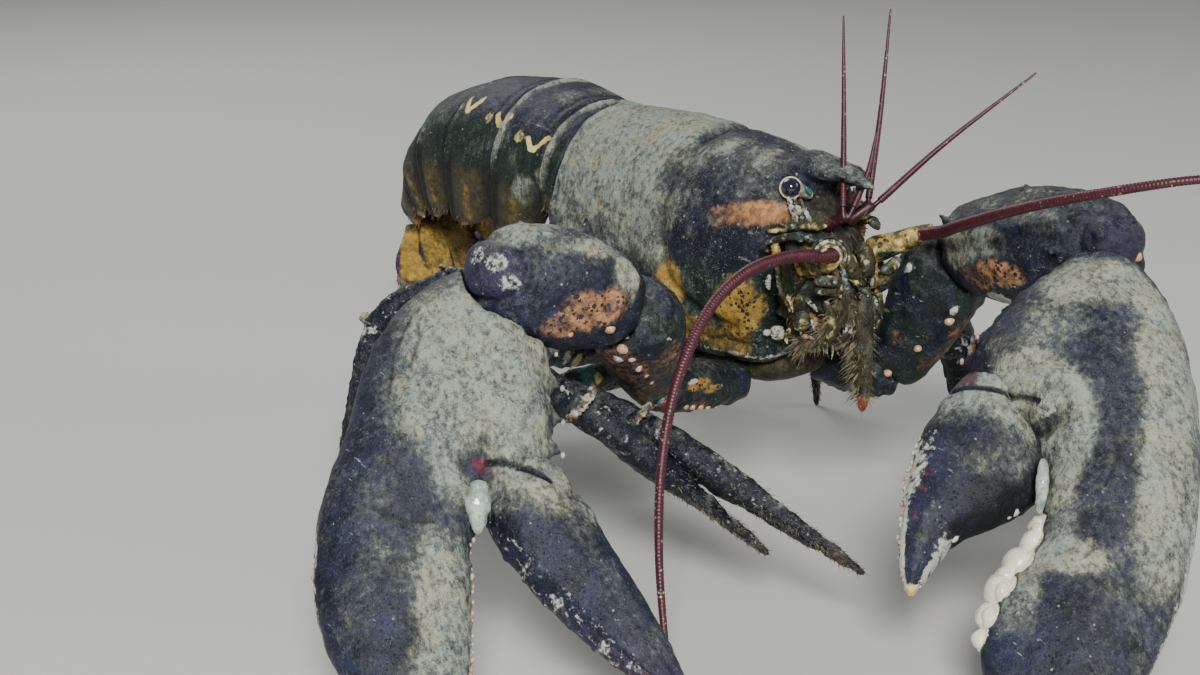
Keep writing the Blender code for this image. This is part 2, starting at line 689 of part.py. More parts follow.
def make_palm(side, carpus):
    data = CLAWS[side]
    wrist, along, across, facing, length = claw_frame(side)
    scale = length / data["palm"][-1][0]
    out = data["out"]
    rings = []
    for u, outer, inner, thick in data["palm"]:
        middle = 0.5 * (outer + inner) * out
        half = 0.5 * (outer - inner)
        centre = wrist + along * (u * scale) + across * middle
        rings.append(oval(centre, across, facing, half, thick, 2.25, 18))
    obj = loft("claw_palm_" + side, rings)
    pieces = []
    for u, v, height, radius in PALM_SPINES[side]:
        root = wrist + along * (u * scale) + across * ((v + 3) * out)
        pieces.append(cone(root, root + across * (-out * (height + 3)) + along * 2.0 - facing * 0.5, radius))
    if side == "right":
        first, last, count, radius, height = CUTTER_TEETH["fixed"]
        for k in range(count):
            u = first + (last - first) * k / (count - 1)
            v = edge_at(data["palm"], u)
            base = wrist + along * (u * scale) + across * (v + 1.0)
            pieces.append(knob(base, -across, radius * (1.15 if k % 3 == 1 else 0.9), height, 5))
    else:
        for u, v, radius, height in MOLARS["fixed"]:
            base = wrist + along * (u * scale) + across * (v - 1.5)
            pieces.append(knob(base, across, radius, height, 7))
    fuse(obj, pieces)
    clear_of(obj, carpus)
    cut_at_floor(obj)
    paint(obj, SLATE, 0.6)
    return obj


def make_finger(side, palm):
    data = CLAWS[side]
    wrist, along, across, facing, length = claw_frame(side)
    path = []
    sizes = []
    for u, v, half, thick in data["finger"]:
        path.append(wrist + along * u + across * v)
        sizes.append((half, thick))
    obj = limb("claw_finger_" + side, path, sizes, across, 16, 2.2)
    pieces = []
    if side == "right":
        first, last, count, radius, height = CUTTER_TEETH["moving"]
        finger_start = data["finger"][0][0]
        finger_length = data["finger"][-1][0] - finger_start
        for k in range(count):
            share = (first + (last - first) * k / (count - 1) - finger_start) / finger_length
            point, away, t = at_surface(path, sizes, across, min(share * 0.97 + 0.02, 0.93), 0)
            pieces.append(knob(point - away * 1.0, away, radius, height, 5))
        point, away, t = at_surface(path, sizes, across, 0.16, 180)
        pieces.append(cone(point - away * 3, point + away * 4.0 + t * 1.5, 4.0))
    else:
        for u, v, radius, height in MOLARS["moving"]:
            base = wrist + along * u + across * (v + 1.5)
            pieces.append(knob(base, -across + along * 0.8, radius, height, 7))
        u, v, height, radius = HEEL
        pieces.append(knob(wrist + along * u + across * v, along - across, radius, height, 10))
    fuse(obj, pieces)
    clear_of(obj, palm)
    paint(obj, SLATE, 0.6)
    return obj


CHELIPED_SIZES = {
    "ischium": ((9.5, 11.0), (11.0, 12.0), (12.0, 12.5), (12.5, 13.0), (10.5, 11.0)),
    "merus": ((10.0, 11.0), (13.5, 15.0), (16.5, 18.5), (20.0, 22.0), (20.0, 22.0), (13.0, 14.0)),
    "carpus": ((14.0, 15.0), (22.0, 22.0), (26.0, 25.0), (27.0, 25.0), (24.0, 22.0), (19.0, 18.0),
               (10.0, 10.0)),
}
CARPUS_SHARES = (0.0, 0.14, 0.36, 0.58, 0.78, 0.92, 1.02)
MERUS_SHARES = (0.02, 0.15, 0.4, 0.7, 0.9, 1.02)
ISCHIUM_SHARES = (0, 0.25, 0.55, 0.85, 1.05)
# Spines: share, angle, height, radius, forward lean
ARM_SPINES = {
    "carpus_right": ((0.34, 10, 7.5, 3.2, 0.3), (0.62, 35, 5.0, 3.0, 0.3), (0.93, 25, 6.5, 2.8, 0.6),
                     (0.20, -35, 4.0, 2.8, 0.2), (0.55, -125, 4.5, 3.0, 0.3), (0.80, -140, 4.5, 2.8, 0.3)),
    "carpus_left": ((0.14, 55, 11.0, 3.8, 0.1), (0.42, 75, 6.0, 3.4, 0.3), (0.66, 85, 6.0, 3.2, 0.4),
                    (0.45, 20, 4.5, 3.2, 0.3), (0.88, 60, 5.0, 3.0, 0.5), (0.97, 0, 5.0, 3.0, 0.8)),
    "merus_right": ((0.80, 20, 5.0, 3.2, 0.4), (0.55, 40, 4.0, 2.8, 0.3), (0.30, 45, 3.6, 2.6, 0.3),
                    (0.72, -40, 4.0, 2.8, 0.4), (0.42, -35, 3.4, 2.6, 0.3), (0.20, -30, 3.0, 2.4, 0.3)),
    "merus_left": ((0.84, 20, 7.0, 3.6, 0.5), (0.60, 35, 4.5, 3.0, 0.3), (0.34, 40, 4.0, 2.8, 0.3),
                   (0.70, -35, 4.5, 3.0, 0.4), (0.45, -35, 3.6, 2.6, 0.3), (0.22, -30, 3.2, 2.4, 0.3)),
    "ischium_right": ((0.25, 165, 2.4, 2.0, 0.2), (0.42, 168, 2.6, 2.1, 0.2), (0.60, 165, 2.8, 2.2, 0.2),
                      (0.78, 160, 3.0, 2.3, 0.2)),
    "ischium_left": ((0.25, 165, 2.4, 2.0, 0.2), (0.42, 168, 2.6, 2.1, 0.2), (0.60, 165, 2.8, 2.2, 0.2),
                     (0.78, 160, 3.0, 2.3, 0.2)),
}


def arm_segment(kind, side, start, end, shares, scale, across, count):
    path = [start.lerp(end, f) for f in shares]
    sizes = [(a * scale, b * scale) for a, b in CHELIPED_SIZES[kind]]
    obj = limb("cheliped_%s_%s" % (kind, side), path, sizes, across, count, 2.35)
    fuse(obj, limb_spines(path, sizes, across, ARM_SPINES["%s_%s" % (kind, side)]))
    return obj


def make_cheliped(side, thorax, carapace):
    data = CLAWS[side]
    big = 1.0 if side == "right" else 1.08
    hip = vec(data["hip"])
    k1 = vec(data["knee1"])
    k2 = vec(data["knee2"])
    end = vec(data["carpus_end"])
    face = data["facing"]
    carpus = arm_segment("carpus", side, k2, end, CARPUS_SHARES, big, (0, 0, 1), 16)
    merus = arm_segment("merus", side, k1, k2, MERUS_SHARES, big, face, 14)
    ischium = arm_segment("ischium", side, hip, k1, ISCHIUM_SHARES, 1.0, (0, 0, 1), 12)
    clear_of(merus, carpus)
    clear_of(ischium, merus)
    clear_of(ischium, thorax)
    clear_of(ischium, carapace)
    palm = make_palm(side, carpus)
    finger = make_finger(side, palm)
    paint(carpus, SHELL_DARK, 0.55)
    paint(merus, SHELL_DARK, 0.55)
    paint(ischium, SHELL_DARK, 0.6)
    return [carpus, merus, ischium, palm, finger]


# Walking legs: root, knee, ankle, tip, and whether the foot rests on the floor
LEGS = {
    "leg_1_right": ((-25, -86, 92), (-120, -98, 95), (-108, -149, 87), (-60, -242, 33)),
    "leg_2_right": ((-26, -62, 92), (-142, -82, 112), (-135, -139, 99), (-75, -197, 31)),
    "leg_3_right": ((-26, -42, 92), (-122, -12, 132), (-150, 12, 112), (-172, 24, -1)),
    "leg_4_right": ((-24, -20, 92), (-86, 26, 100), (-106, 54, 76), (-116, 90, -1)),
    "leg_1_left": ((25, -86, 92), (95, -171, 90), (126, -204, 86), (150, -240, -1)),
    "leg_2_left": ((26, -62, 92), (112, -104, 112), (138, -118, 98), (158, -130, -1)),
    "leg_3_left": ((26, -42, 92), (118, -20, 128), (144, -8, 108), (160, -2, -1)),
    "leg_4_left": ((24, -20, 92), (88, 42, 128), (104, 70, 108), (112, 90, -1)),
}
UPPER_SIZES = ((7.5, 8.5), (7.0, 8.2), (6.4, 8.0), (5.8, 7.6), (5.6, 7.4), (4.6, 6.0))
PINCER_SIZES = ((4.8, 5.6), (6.0, 7.2), (6.2, 7.4), (5.6, 7.8), (6.0, 8.8), (5.6, 8.4), (3.2, 3.6),
                (2.2, 2.4), (1.0, 1.0))
PINCER_SHARES = (0.05, 0.2, 0.42, 0.58, 0.8, 1.0)
# Upper finger of a pincer: shares of the hand's length, heights above it, half sizes
NIP = ((0.36, 3.2), (0.5, 5.6), (0.75, 5.0), (1.0, 0.6))
NIP_SIZES = ((3.4, 3.0), (2.8, 2.6), (2.0, 1.9), (0.8, 0.8))
WALK_SIZES = ((4.6, 5.4), (5.6, 6.6), (5.6, 6.6), (4.6, 5.8), (4.6, 5.6), (4.0, 5.0), (2.9, 3.4),
              (2.2, 2.4), (1.5, 1.5))
WALK_SHARES = (0.06, 0.3, 0.56, 0.74, 0.88, 1.0)


def make_leg(name, thorax, carapace):
    root, knee, ankle, tip = [vec(p) for p in LEGS[name]]
    lift = vec((0, 0, 1))
    pincer = "leg_1" in name or "leg_2" in name
    upper_path = [root, root.lerp(knee, 0.16) - lift * 2, root.lerp(knee, 0.42), root.lerp(knee, 0.72),
                  root.lerp(knee, 0.92) + lift * 1.5, knee]
    upper = limb(name + "_upper", upper_path, UPPER_SIZES, (0, 1, 0.2), 10, 2.3)
    shares = PINCER_SHARES if pincer else WALK_SHARES
    sizes = PINCER_SIZES if pincer else WALK_SIZES
    outer = (ankle - knee).cross(tip - ankle).normalized()
    down = (tip - ankle).normalized().cross(outer)
    path = [knee.lerp(ankle, -0.04), knee.lerp(ankle, 0.35), knee.lerp(ankle, 0.8)]
    bow = 3.0 if pincer else 0.0
    for k, f in enumerate(shares):
        drop = bow * (1.0 if 0.5 < f < 0.95 else 0.0)
        path.append(ankle.lerp(tip, f) + down * drop)
    lower = limb(name + "_lower", path, sizes, outer, 10, 2.2)
    if pincer:
        finger = [ankle.lerp(tip, f) - down * h for f, h in NIP]
        fuse(lower, [limb("nip", finger, NIP_SIZES, outer, 7, 2.0)])
    clear_of(lower, upper)
    clear_of(upper, thorax)
    clear_of(upper, carapace)
    if tip.z < 0:
        cut_at_floor(lower)
    paint(upper, LEG_BLUE, 0.5)
    paint(lower, LEG_BLUE, 0.5)
    return [upper, lower]


def recentre():
    """Moves the whole animal so that the bottom centre of its box is the origin."""
    objs = [o for o in bpy.data.objects if o.type == "MESH"]
    pts = np.array([v.co[:] for o in objs for v in o.data.vertices])
    low = pts.min(axis=0)
    high = pts.max(axis=0)
    move = Vector((-(low[0] + high[0]) / 2, -(low[1] + high[1]) / 2, -low[2]))
    for obj in objs:
        for v in obj.data.vertices:
            v.co += move


def main():
    clear_scene()
    carapace = make_carapace()
    head = make_head_front(carapace)
    thorax = make_thorax(carapace, head)
    rear = [make_abdomen(n, carapace) for n in range(1, 7)]
    make_tail_fan(rear[-1])
    for side, sign in (("right", -1), ("left", 1)):
        make_eye(sign, "eye_" + side, carapace, head)
        make_antennule(side, head, carapace)
        make_antenna(side, head)
        make_maxilliped(side, head)
        make_cheliped(side, thorax, carapace)
    for name in LEGS:
        make_leg(name, thorax, carapace)
    recentre()


main()
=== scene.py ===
"""American lobster, life size: finished shells, hairs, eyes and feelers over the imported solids."""
import math
import random

import bpy
import bmesh
import numpy as np
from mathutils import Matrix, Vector


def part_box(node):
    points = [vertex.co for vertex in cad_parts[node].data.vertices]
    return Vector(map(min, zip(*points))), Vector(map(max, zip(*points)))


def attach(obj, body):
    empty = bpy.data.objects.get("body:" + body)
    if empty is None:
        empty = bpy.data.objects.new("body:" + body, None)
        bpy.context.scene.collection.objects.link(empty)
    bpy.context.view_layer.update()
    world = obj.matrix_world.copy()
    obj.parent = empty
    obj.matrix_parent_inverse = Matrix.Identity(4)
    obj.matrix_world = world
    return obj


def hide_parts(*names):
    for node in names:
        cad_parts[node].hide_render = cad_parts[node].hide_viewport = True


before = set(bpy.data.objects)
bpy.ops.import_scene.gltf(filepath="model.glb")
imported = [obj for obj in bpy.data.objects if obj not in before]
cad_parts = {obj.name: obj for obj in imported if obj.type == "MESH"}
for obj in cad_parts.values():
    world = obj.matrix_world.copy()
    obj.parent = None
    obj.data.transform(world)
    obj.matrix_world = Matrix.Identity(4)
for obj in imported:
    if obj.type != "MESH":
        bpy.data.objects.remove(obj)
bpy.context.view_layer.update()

bl_info = {
    "name": "American lobster",
    "version": (1, 0, 0),
    "blender": (4, 5, 0),
    "location": "3D View > Sidebar > Lobster",
    "description": "Dresses the lobster's solids with shells, hairs, eyes and feelers",
    "category": "Object",
}

MM = 0.001
SIDES = (("right", -1), ("left", 1))

# Points below are millimetres: x to the animal's left, y backwards, z up, with the rostrum's tip at this y
ROSTRUM_TIP_Y = -186.0
CARAPACE_LOW, CARAPACE_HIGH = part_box("carapace")
SHIFT = np.array((
    (CARAPACE_LOW.x + CARAPACE_HIGH.x) / 2 / MM,
    CARAPACE_LOW.y / MM - ROSTRUM_TIP_Y,
    0.0,
))

# Great claws: wrist, tip, the way the broad face looks and the side of the outer edge
CLAWS = {
    "right": {
        "wrist": (-173, -124, 157),
        "tip": (-287, -227, -1),
        "facing": (-0.541, -0.748, 0.384),
        "out": 1,
    },
    "left": {
        "wrist": (49, -266, 158),
        "tip": (-104, -362, -1),
        "facing": (-0.751, -0.551, 0.364),
        "out": -1,
    },
}
# Arm joints from the hip to the claw
ARMS = {
    "right": {
        "hip": (-26, -124, 87),
        "knee": (-86, -127, 97),
        "elbow": (-122, -154, 151),
        "end": (-190, -128, 172),
    },
    "left": {
        "hip": (26, -124, 87),
        "knee": (54, -154, 81),
        "elbow": (62, -186, 154),
        "end": (59, -286, 171),
    },
}
# Walking legs: root, knee, ankle and tip
LEGS = {
    "leg_1_right": ((-25, -86, 92), (-120, -98, 95), (-108, -149, 87), (-60, -242, 33)),
    "leg_2_right": ((-26, -62, 92), (-142, -82, 112), (-135, -139, 99), (-75, -197, 31)),
    "leg_3_right": ((-26, -42, 92), (-122, -12, 132), (-150, 12, 112), (-172, 24, -1)),
    "leg_4_right": ((-24, -20, 92), (-86, 26, 100), (-106, 54, 76), (-116, 90, -1)),
    "leg_1_left": ((25, -86, 92), (95, -171, 90), (126, -204, 86), (150, -240, -1)),
    "leg_2_left": ((26, -62, 92), (112, -104, 112), (138, -118, 98), (158, -130, -1)),
    "leg_3_left": ((26, -42, 92), (118, -20, 128), (144, -8, 108), (160, -2, -1)),
    "leg_4_left": ((24, -20, 92), (88, 42, 128), (104, 70, 108), (112, 90, -1)),
}


def length_property(label, note, value):
    return bpy.props.FloatProperty(name=label, description=note, default=value, unit="LENGTH")


class LobsterSizes(bpy.types.PropertyGroup):
    """Sizes that a maker may change."""

    grain: length_property("Shell grain", "Size of the faces on the great shells", 0.0011)
    fine_grain: length_property("Fine grain", "Size of the faces on small shells", 0.0008)
    hair_width: length_property("Hair width", "Thickness of a hair at its root", 0.00055)
    hair_share: bpy.props.FloatProperty(
        name="Hair amount", description="Share of the full number of hairs",
        default=1.0, min=0.0, max=1.5, subtype="FACTOR")
    ring_step: length_property("Feeler rings", "Distance between the rings of the long feelers", 0.0016)
    eye_radius: length_property("Eye radius", "Half width of the ball of the eye", 0.0047)


def colour_property(label, note, value):
    return bpy.props.FloatVectorProperty(
        name=label, description=note, default=value, subtype="COLOR", min=0.0, max=1.0)


class LobsterColours(bpy.types.PropertyGroup):
    """Colours of the shell by region."""

    slate_dark: colour_property("Dark slate", "Darkest blue-black of the shell", (0.0050, 0.0066, 0.0120))
    slate_blue: colour_property("Slate blue", "Blue of the claws between the silt", (0.022, 0.029, 0.062))
    violet: colour_property("Violet", "Purple tint on bare parts of the arms", (0.030, 0.026, 0.066))
    green: colour_property("Dark green", "Green of the sides and joints", (0.016, 0.034, 0.022))
    teal: colour_property("Joint teal", "Blue-green of the soft joints", (0.050, 0.210, 0.220))
    olive: colour_property("Olive", "Olive brown of the flaps and mouth", (0.085, 0.070, 0.022))
    ochre: colour_property("Ochre", "Yellow of the cheeks and fan", (0.500, 0.310, 0.060))
    orange: colour_property("Orange", "Salmon orange behind the eyes and on the arms", (0.520, 0.255, 0.110))
    cream: colour_property("Cream", "Pale yellow marks", (0.760, 0.610, 0.210))
    tip_red: colour_property("Tip red", "Red of the tips of spines", (0.300, 0.050, 0.028))
    silt_pale: colour_property("Pale silt", "Grey-green dust on the back and claws", (0.325, 0.375, 0.310))
    silt_warm: colour_property("Warm silt", "Beige dust", (0.385, 0.385, 0.275))
    # Also the colour of the painted highlights on the small limbs
    worn: colour_property("Worn edge", "Pale chalky edges", (0.520, 0.520, 0.460))
    maroon: colour_property("Maroon", "Feelers", (0.052, 0.006, 0.013))
    enamel: colour_property("Tooth", "Cream white of the teeth", (0.860, 0.820, 0.620))
    hair: colour_property("Hair", "Olive brown hairs", (0.130, 0.112, 0.066))


def sizes():
    return bpy.context.scene.lobster_sizes


def colours():
    return bpy.context.scene.lobster_colours


# Placing and mesh helpers
def place(point):
    """Frame position in metres of a point in the millimetres used here."""
    return Vector((np.asarray(point, float) + SHIFT) * MM)


def unit(v):
    v = np.asarray(v, float)
    return v / np.linalg.norm(v)


def smooth(values, low, high):
    """0 below low, 1 above high and a soft rise between."""
    t = np.clip((np.asarray(values, float) - low) / (high - low), 0, 1)
    return t * t * (3 - 2 * t)


def lattice(corner, seed):
    h = corner[:, 0] * 374761393 + corner[:, 1] * 668265263 + corner[:, 2] * 2147483647 + seed * 144665
    h = (h ^ (h >> 13)) * 1274126177
    return ((h ^ (h >> 16)) & 0xFFFF) / 32767.5 - 1.0


def swell(points, size, seed=0):
    """Soft random swells between -1 and 1, about one in each size of millimetres."""
    q = points / size
    base = np.floor(q).astype(np.int64)
    f = q - base
    f = f * f * (3 - 2 * f)
    total = np.zeros(len(points))
    for corner in range(8):
        step = np.array((corner & 1, corner >> 1 & 1, corner >> 2 & 1))
        weight = np.prod(np.where(step, f, 1 - f), axis=1)
        total += weight * lattice(base + step, seed)
    return total


def read_points(obj):
    flat = np.empty(len(obj.data.vertices) * 3, np.float32)
    obj.data.vertices.foreach_get("co", flat)
    return flat.reshape(-1, 3).astype(float) / MM - SHIFT


def write_points(obj, points):
    obj.data.vertices.foreach_set("co", ((points + SHIFT) * MM).astype(np.float32).ravel())
    obj.data.update()


def read_normals(obj):
    flat = np.empty(len(obj.data.vertices) * 3, np.float32)
    obj.data.vertices.foreach_get("normal", flat)
    return flat.reshape(-1, 3).astype(float)


def read_surface(obj):
    return read_points(obj), read_normals(obj)


def push(obj, heights):
    """Moves the surface out along its normals by millimetres."""
    write_points(obj, read_points(obj) + read_normals(obj) * np.asarray(heights)[:, None])


def stain(obj, **amounts):
    """Stores how much of each marking, painted shade included, a point carries, which the materials read."""
    for name, values in amounts.items():
        layer = obj.data.attributes.get(name) or obj.data.attributes.new(name, "FLOAT", "POINT")
        layer.data.foreach_set("value", np.clip(values, 0, 1).astype(np.float32))


def at_least(stains, key, amount):
    """Raises a marking to an amount where it is weaker."""
    stains[key] = np.maximum(stains.get(key, 0.0), amount)


def blobs(points, rows):
    """Largest of soft round patches: each row is a centre, three half sizes and a strength."""
    best = np.zeros(len(points))
    for centre, half, strength in rows:
        d = np.linalg.norm((points - np.asarray(centre, float)) / np.asarray(half, float), axis=1)
        best = np.maximum(best, strength * (1 - smooth(d, 0.55, 1.25)))
    return best


def line_distance(points, line):
    """Distance to a polyline and the share of its length at the nearest point."""
    line = np.asarray(line, float)
    lengths = np.linalg.norm(np.diff(line, axis=0), axis=1)
    starts = np.concatenate([[0], np.cumsum(lengths)])
    best = np.full(len(points), 1e9)
    share = np.zeros(len(points))
    for k, length in enumerate(lengths):
        along = (line[k + 1] - line[k]) / length
        t = np.clip((points - line[k]) @ along, 0, length)
        d = np.linalg.norm(points - line[k] - t[:, None] * along, axis=1)
        nearer = d < best
        best[nearer] = d[nearer]
        share[nearer] = (starts[k] + t[nearer]) / starts[-1]
    return best, share


def ridge(distance, width, height=1.0):
    """A rounded rise along a line, from the distance to it."""
    return height * np.exp(-(distance / width) ** 2)


def groove(distance, width, depth):
    return -ridge(distance, width, depth)


def rough(points, first_seed, *rows):
    """Sum of swells: each row is a height and a size, and the seeds count up from the first."""
    return sum(height * swell(points, size, first_seed + k) for k, (height, size) in enumerate(rows))


def mirrored(points):
    """The same points with the right side laid over the left."""
    return points * (np.where(points[:, 0] < 0, -1, 1)[:, None] * (1, 0, 0) + (0, 1, 1))


def nearest(points, places):
    """Distance of each point to the nearest of some places."""
    best = np.full(len(points), 99.0)
    for centre in places:
        best = np.minimum(best, np.linalg.norm(points - centre, axis=1))
    return best


def pick_none():
    bpy.ops.object.select_all(action="DESELECT")


def pick(*objs):
    """Selects only these objects and makes the first one active."""
    pick_none()
    for obj in objs:
        obj.select_set(True)
    bpy.context.view_layer.objects.active = objs[0]


def new_object(name, data):
    """An object in the scene, selected."""
    obj = bpy.data.objects.new(name, data)
    bpy.context.scene.collection.objects.link(obj)
    pick(obj)
    return obj


def modify(obj, kind, **settings):
    """Adds a modifier and applies it."""
    pick(obj)
    made = obj.modifiers.new(kind.title(), kind)
    for key, value in settings.items():
        setattr(made, key, value)
    bpy.ops.object.modifier_apply(modifier=made.name)


def shell_over(node, grain, levels=2, passes=5, puff=0.35, name=None):
    """A rounded, even skin over a merged copy of a CAD node."""
    obj = new_object(name or node + "_shell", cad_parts[node].data.copy())
    obj.data.materials.clear()
    bpy.ops.object.mode_set(mode="EDIT")
    bpy.ops.mesh.select_all(action="SELECT")
    bpy.ops.mesh.remove_doubles(threshold=0.000002)
    bpy.ops.mesh.tris_convert_to_quads()
    bpy.ops.object.mode_set(mode="OBJECT")
    modify(obj, "SUBSURF", levels=levels, render_levels=levels)
    modify(obj, "REMESH", mode="VOXEL", voxel_size=grain)
    modify(obj, "SMOOTH", factor=0.5, iterations=passes)
    push(obj, np.full(len(obj.data.vertices), puff))
    return obj


def finish_piece(obj, material, slot, *nodes):
    """Gives a piece its material or a shell finish by name and hides the nodes it stands for; the slot is not
    used.
    """
    if isinstance(material, str):
        material = shell_finish(material)
    obj.data.materials.clear()
    obj.data.materials.append(material)
    pick(obj)
    bpy.ops.object.shade_smooth()
    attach(obj, "root")
    if nodes:
        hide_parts(*nodes)
    return obj


def mesh_from(name, verts, faces):
    mesh = bpy.data.meshes.new(name)
    points = (np.asarray(verts, float) + SHIFT) * MM
    mesh.from_pydata([tuple(v) for v in points], [], [tuple(f) for f in faces])
    mesh.update()
    return new_object(name, mesh)


def frames_along(path):
    """Tangent and two side directions at each point of a path, turning as little as possible."""
    path = np.asarray(path, float)
    ahead = np.gradient(path, axis=0)
    ahead /= np.linalg.norm(ahead, axis=1)[:, None]
    side = np.cross(ahead[0], (0.3, 0.2, 1.0))
    rows = []
    for t in ahead:
        side = unit(side - t * (side @ t))
        rows.append((t, side, np.cross(t, side)))
    return rows


def tube(name, path, radii, sides=12, flat=1.0):
    """A closed tube with its own half thickness at each point of a path, rounded to a point at both ends."""
    verts = []
    faces = []
    for p, r, (t, e1, e2) in zip(np.asarray(path, float), radii, frames_along(path)):
        for k in range(sides):
            a = 2 * math.pi * k / sides
            verts.append(p + e1 * (r * math.cos(a)) + e2 * (r * flat * math.sin(a)))
    for k in range(len(radii) - 1):
        for i in range(sides):
            j = (i + 1) % sides
            faces.append((k * sides + i, k * sides + j, (k + 1) * sides + j, (k + 1) * sides + i))
    faces.append(tuple(reversed(range(sides))))
    faces.append(tuple(range(len(verts) - sides, len(verts))))
    return mesh_from(name, verts, faces)


def through(points, count):
    """Points evenly spaced along a smooth curve through the given ones."""
    pts = [np.asarray(p, float) for p in points]
    ext = [pts[0] * 2 - pts[1]] + pts + [pts[-1] * 2 - pts[-2]]
    fine = []
    for k in range(len(pts) - 1):
        p0, p1, p2, p3 = ext[k:k + 4]
        for f in np.linspace(0, 1, 24, endpoint=k == len(pts) - 2):
            fine.append(0.5 * (2 * p1 + (p2 - p0) * f + (2 * p0 - 5 * p1 + 4 * p2 - p3) * f ** 2
                               + (3 * p1 - p0 - 3 * p2 + p3) * f ** 3))
    fine = np.array(fine)
    run = np.concatenate([[0], np.cumsum(np.linalg.norm(np.diff(fine, axis=0), axis=1))])
    even = np.linspace(0, run[-1], count)
    return np.column_stack([np.interp(even, run, fine[:, k]) for k in range(3)])


def joined(name, parts):
    """One object of several."""
    pick(*parts)
    if len(parts) > 1:
        bpy.ops.object.join()
    parts[0].name = name
    return parts[0]


HAIR_STEPS = (0.0, 0.4, 0.75, 1.0)


def hairs(name, roots, ways, lengths, width, bend, material, seed):
    """Thin tapered hairs of three sides in one mesh, each with its own small patch of the map."""
    rng = np.random.default_rng(seed)
    roots = np.asarray(roots, float)
    count = len(roots)
    ways = np.asarray(ways, float)
    ways = ways / np.linalg.norm(ways, axis=1)[:, None]
    side = np.cross(ways, rng.normal(size=(count, 3)))
    side /= np.linalg.norm(side, axis=1)[:, None]
    other = np.cross(ways, side)
    bend = np.asarray(bend, float)[None, :] + rng.normal(scale=0.12, size=(count, 3))
    verts = []
    for t in HAIR_STEPS:
        middle = roots + ways * (lengths * t)[:, None] + bend * (lengths * t * t)[:, None]
        r = width * (1 - 0.85 * t)
        for k in range(3):
            a = 2 * math.pi * k / 3
            verts.append(middle + side * (r * math.cos(a)) + other * (r * math.sin(a)))
    verts = np.stack(verts, axis=1).reshape(-1, 3)
    per = 3 * len(HAIR_STEPS)
    faces = []
    for k in range(len(HAIR_STEPS) - 1):
        for i in range(3):
            j = (i + 1) % 3
            faces.append((3 * k + i, 3 * k + j, 3 * k + 3 + j, 3 * k + 3 + i))
    all_faces = [tuple(h * per + i for i in f) for h in range(count) for f in faces]
    all_faces += [(h * per + per - 3, h * per + per - 2, h * per + per - 1) for h in range(count)]
    all_faces += [(h * per + 2, h * per + 1, h * per) for h in range(count)]
    obj = mesh_from(name, verts, all_faces)
    layer = obj.data.uv_layers.new(name="OFBake")
    angle = np.arctan2(roots[:, 0], roots[:, 2] - 150) / (2 * math.pi) + 0.5
    depth = (roots[:, 1] - roots[:, 1].min()) / max(np.ptp(roots[:, 1]), 1) * 0.98 + 0.01
    corner = np.empty(len(obj.data.loops), np.int64)
    obj.data.loops.foreach_get("vertex_index", corner)
    hair = corner // per
    part = corner % per
    uv = np.column_stack([angle[hair] * 0.98 + 0.01 + 0.001 * (part % 3), depth[hair] + 0.001 * (part // 3)])
    layer.data.foreach_set("uv", uv.astype(np.float32).ravel())
    obj.data.materials.append(material)
    return obj


def add_hairs(name, roots, ways, rng, span, bend, seed, thick=1.0):
    """Hairs between a shortest and a longest; their width is a share of the set one."""
    lengths = rng.uniform(*span, len(roots))
    coat = hairs(name, roots, ways, lengths, sizes().hair_width / MM / 2 * thick, bend, hair_material(), seed)
    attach(coat, "root")


def pick_roots(obj, weight, count, seed):
    """Random points of a piece, chosen by weight, with their normals."""
    points = read_points(obj)
    normals = read_normals(obj)
    weight = np.clip(weight, 0, None)
    rng = np.random.default_rng(seed)
    count = min(int(count * sizes().hair_share), int((weight > 0).sum()))
    chosen = rng.choice(len(points), size=count, replace=False, p=weight / weight.sum())
    return points[chosen], normals[chosen], rng


def studs(name, rows, rise, material, seed, facets):
    """Rounded bumps in one mesh: each row is a centre, an outward direction and a radius."""
    rng = random.Random(seed)
    bm = bmesh.new()
    bmesh.ops.create_icosphere(bm, subdivisions=facets, radius=1.0)
    unit_points = np.array([v.co[:] for v in bm.verts])
    unit_faces = [[v.index for v in f.verts] for f in bm.faces]
    bm.free()
    verts = []
    faces = []
    for centre, out, radius in rows:
        out = unit(out)
        side = unit(np.cross(out, (0.37, 0.61, 0.2)))
        other = np.cross(out, side)
        stretch = rng.uniform(0.85, 1.15)
        base = len(verts)
        for p in unit_points:
            q = side * (p[0] * stretch) + other * (p[1] / stretch) + out * (p[2] * rise)
            verts.append(np.asarray(centre, float) + q * radius)
        faces += [[base + i for i in f] for f in unit_faces]
    obj = mesh_from(name, verts, faces)
    obj.data.materials.append(material)
    return obj


# Shader helpers
def add_node(tree, kind, settings=None, values=None):
    """A node with its settings; a socket takes a value or another node's output."""
    made = tree.nodes.new(kind)
    for key, value in (settings or {}).items():
        setattr(made, key, value)
    for key, value in (values or {}).items():
        if isinstance(value, bpy.types.NodeSocket):
            tree.links.new(value, made.inputs[key])
        else:
            made.inputs[key].default_value = value
    return made


def maths(tree, operation, a, b, clamp=False):
    made = add_node(tree, "ShaderNodeMath", {"operation": operation, "use_clamp": clamp}, {0: a, 1: b})
    return made.outputs[0]


def times(tree, a, b):
    return maths(tree, "MULTIPLY", a, b)


def plus(tree, a, b):
    return maths(tree, "ADD", a, b)


def minus(tree, a, b, clamp=False):
    return maths(tree, "SUBTRACT", a, b, clamp)


def mix(tree, factor, a, b):
    made = add_node(tree, "ShaderNodeMix", {"data_type": "RGBA"}, {0: factor, 6: a, 7: b})
    return made.outputs[2]


def soft_step(tree, value, low, high):
    made = add_node(tree, "ShaderNodeMapRange", {"interpolation_type": "SMOOTHSTEP"},
                    {"Value": value, "From Min": low, "From Max": high})
    return made.outputs[0]


def object_place(tree):
    return add_node(tree, "ShaderNodeTexCoord").outputs["Object"]


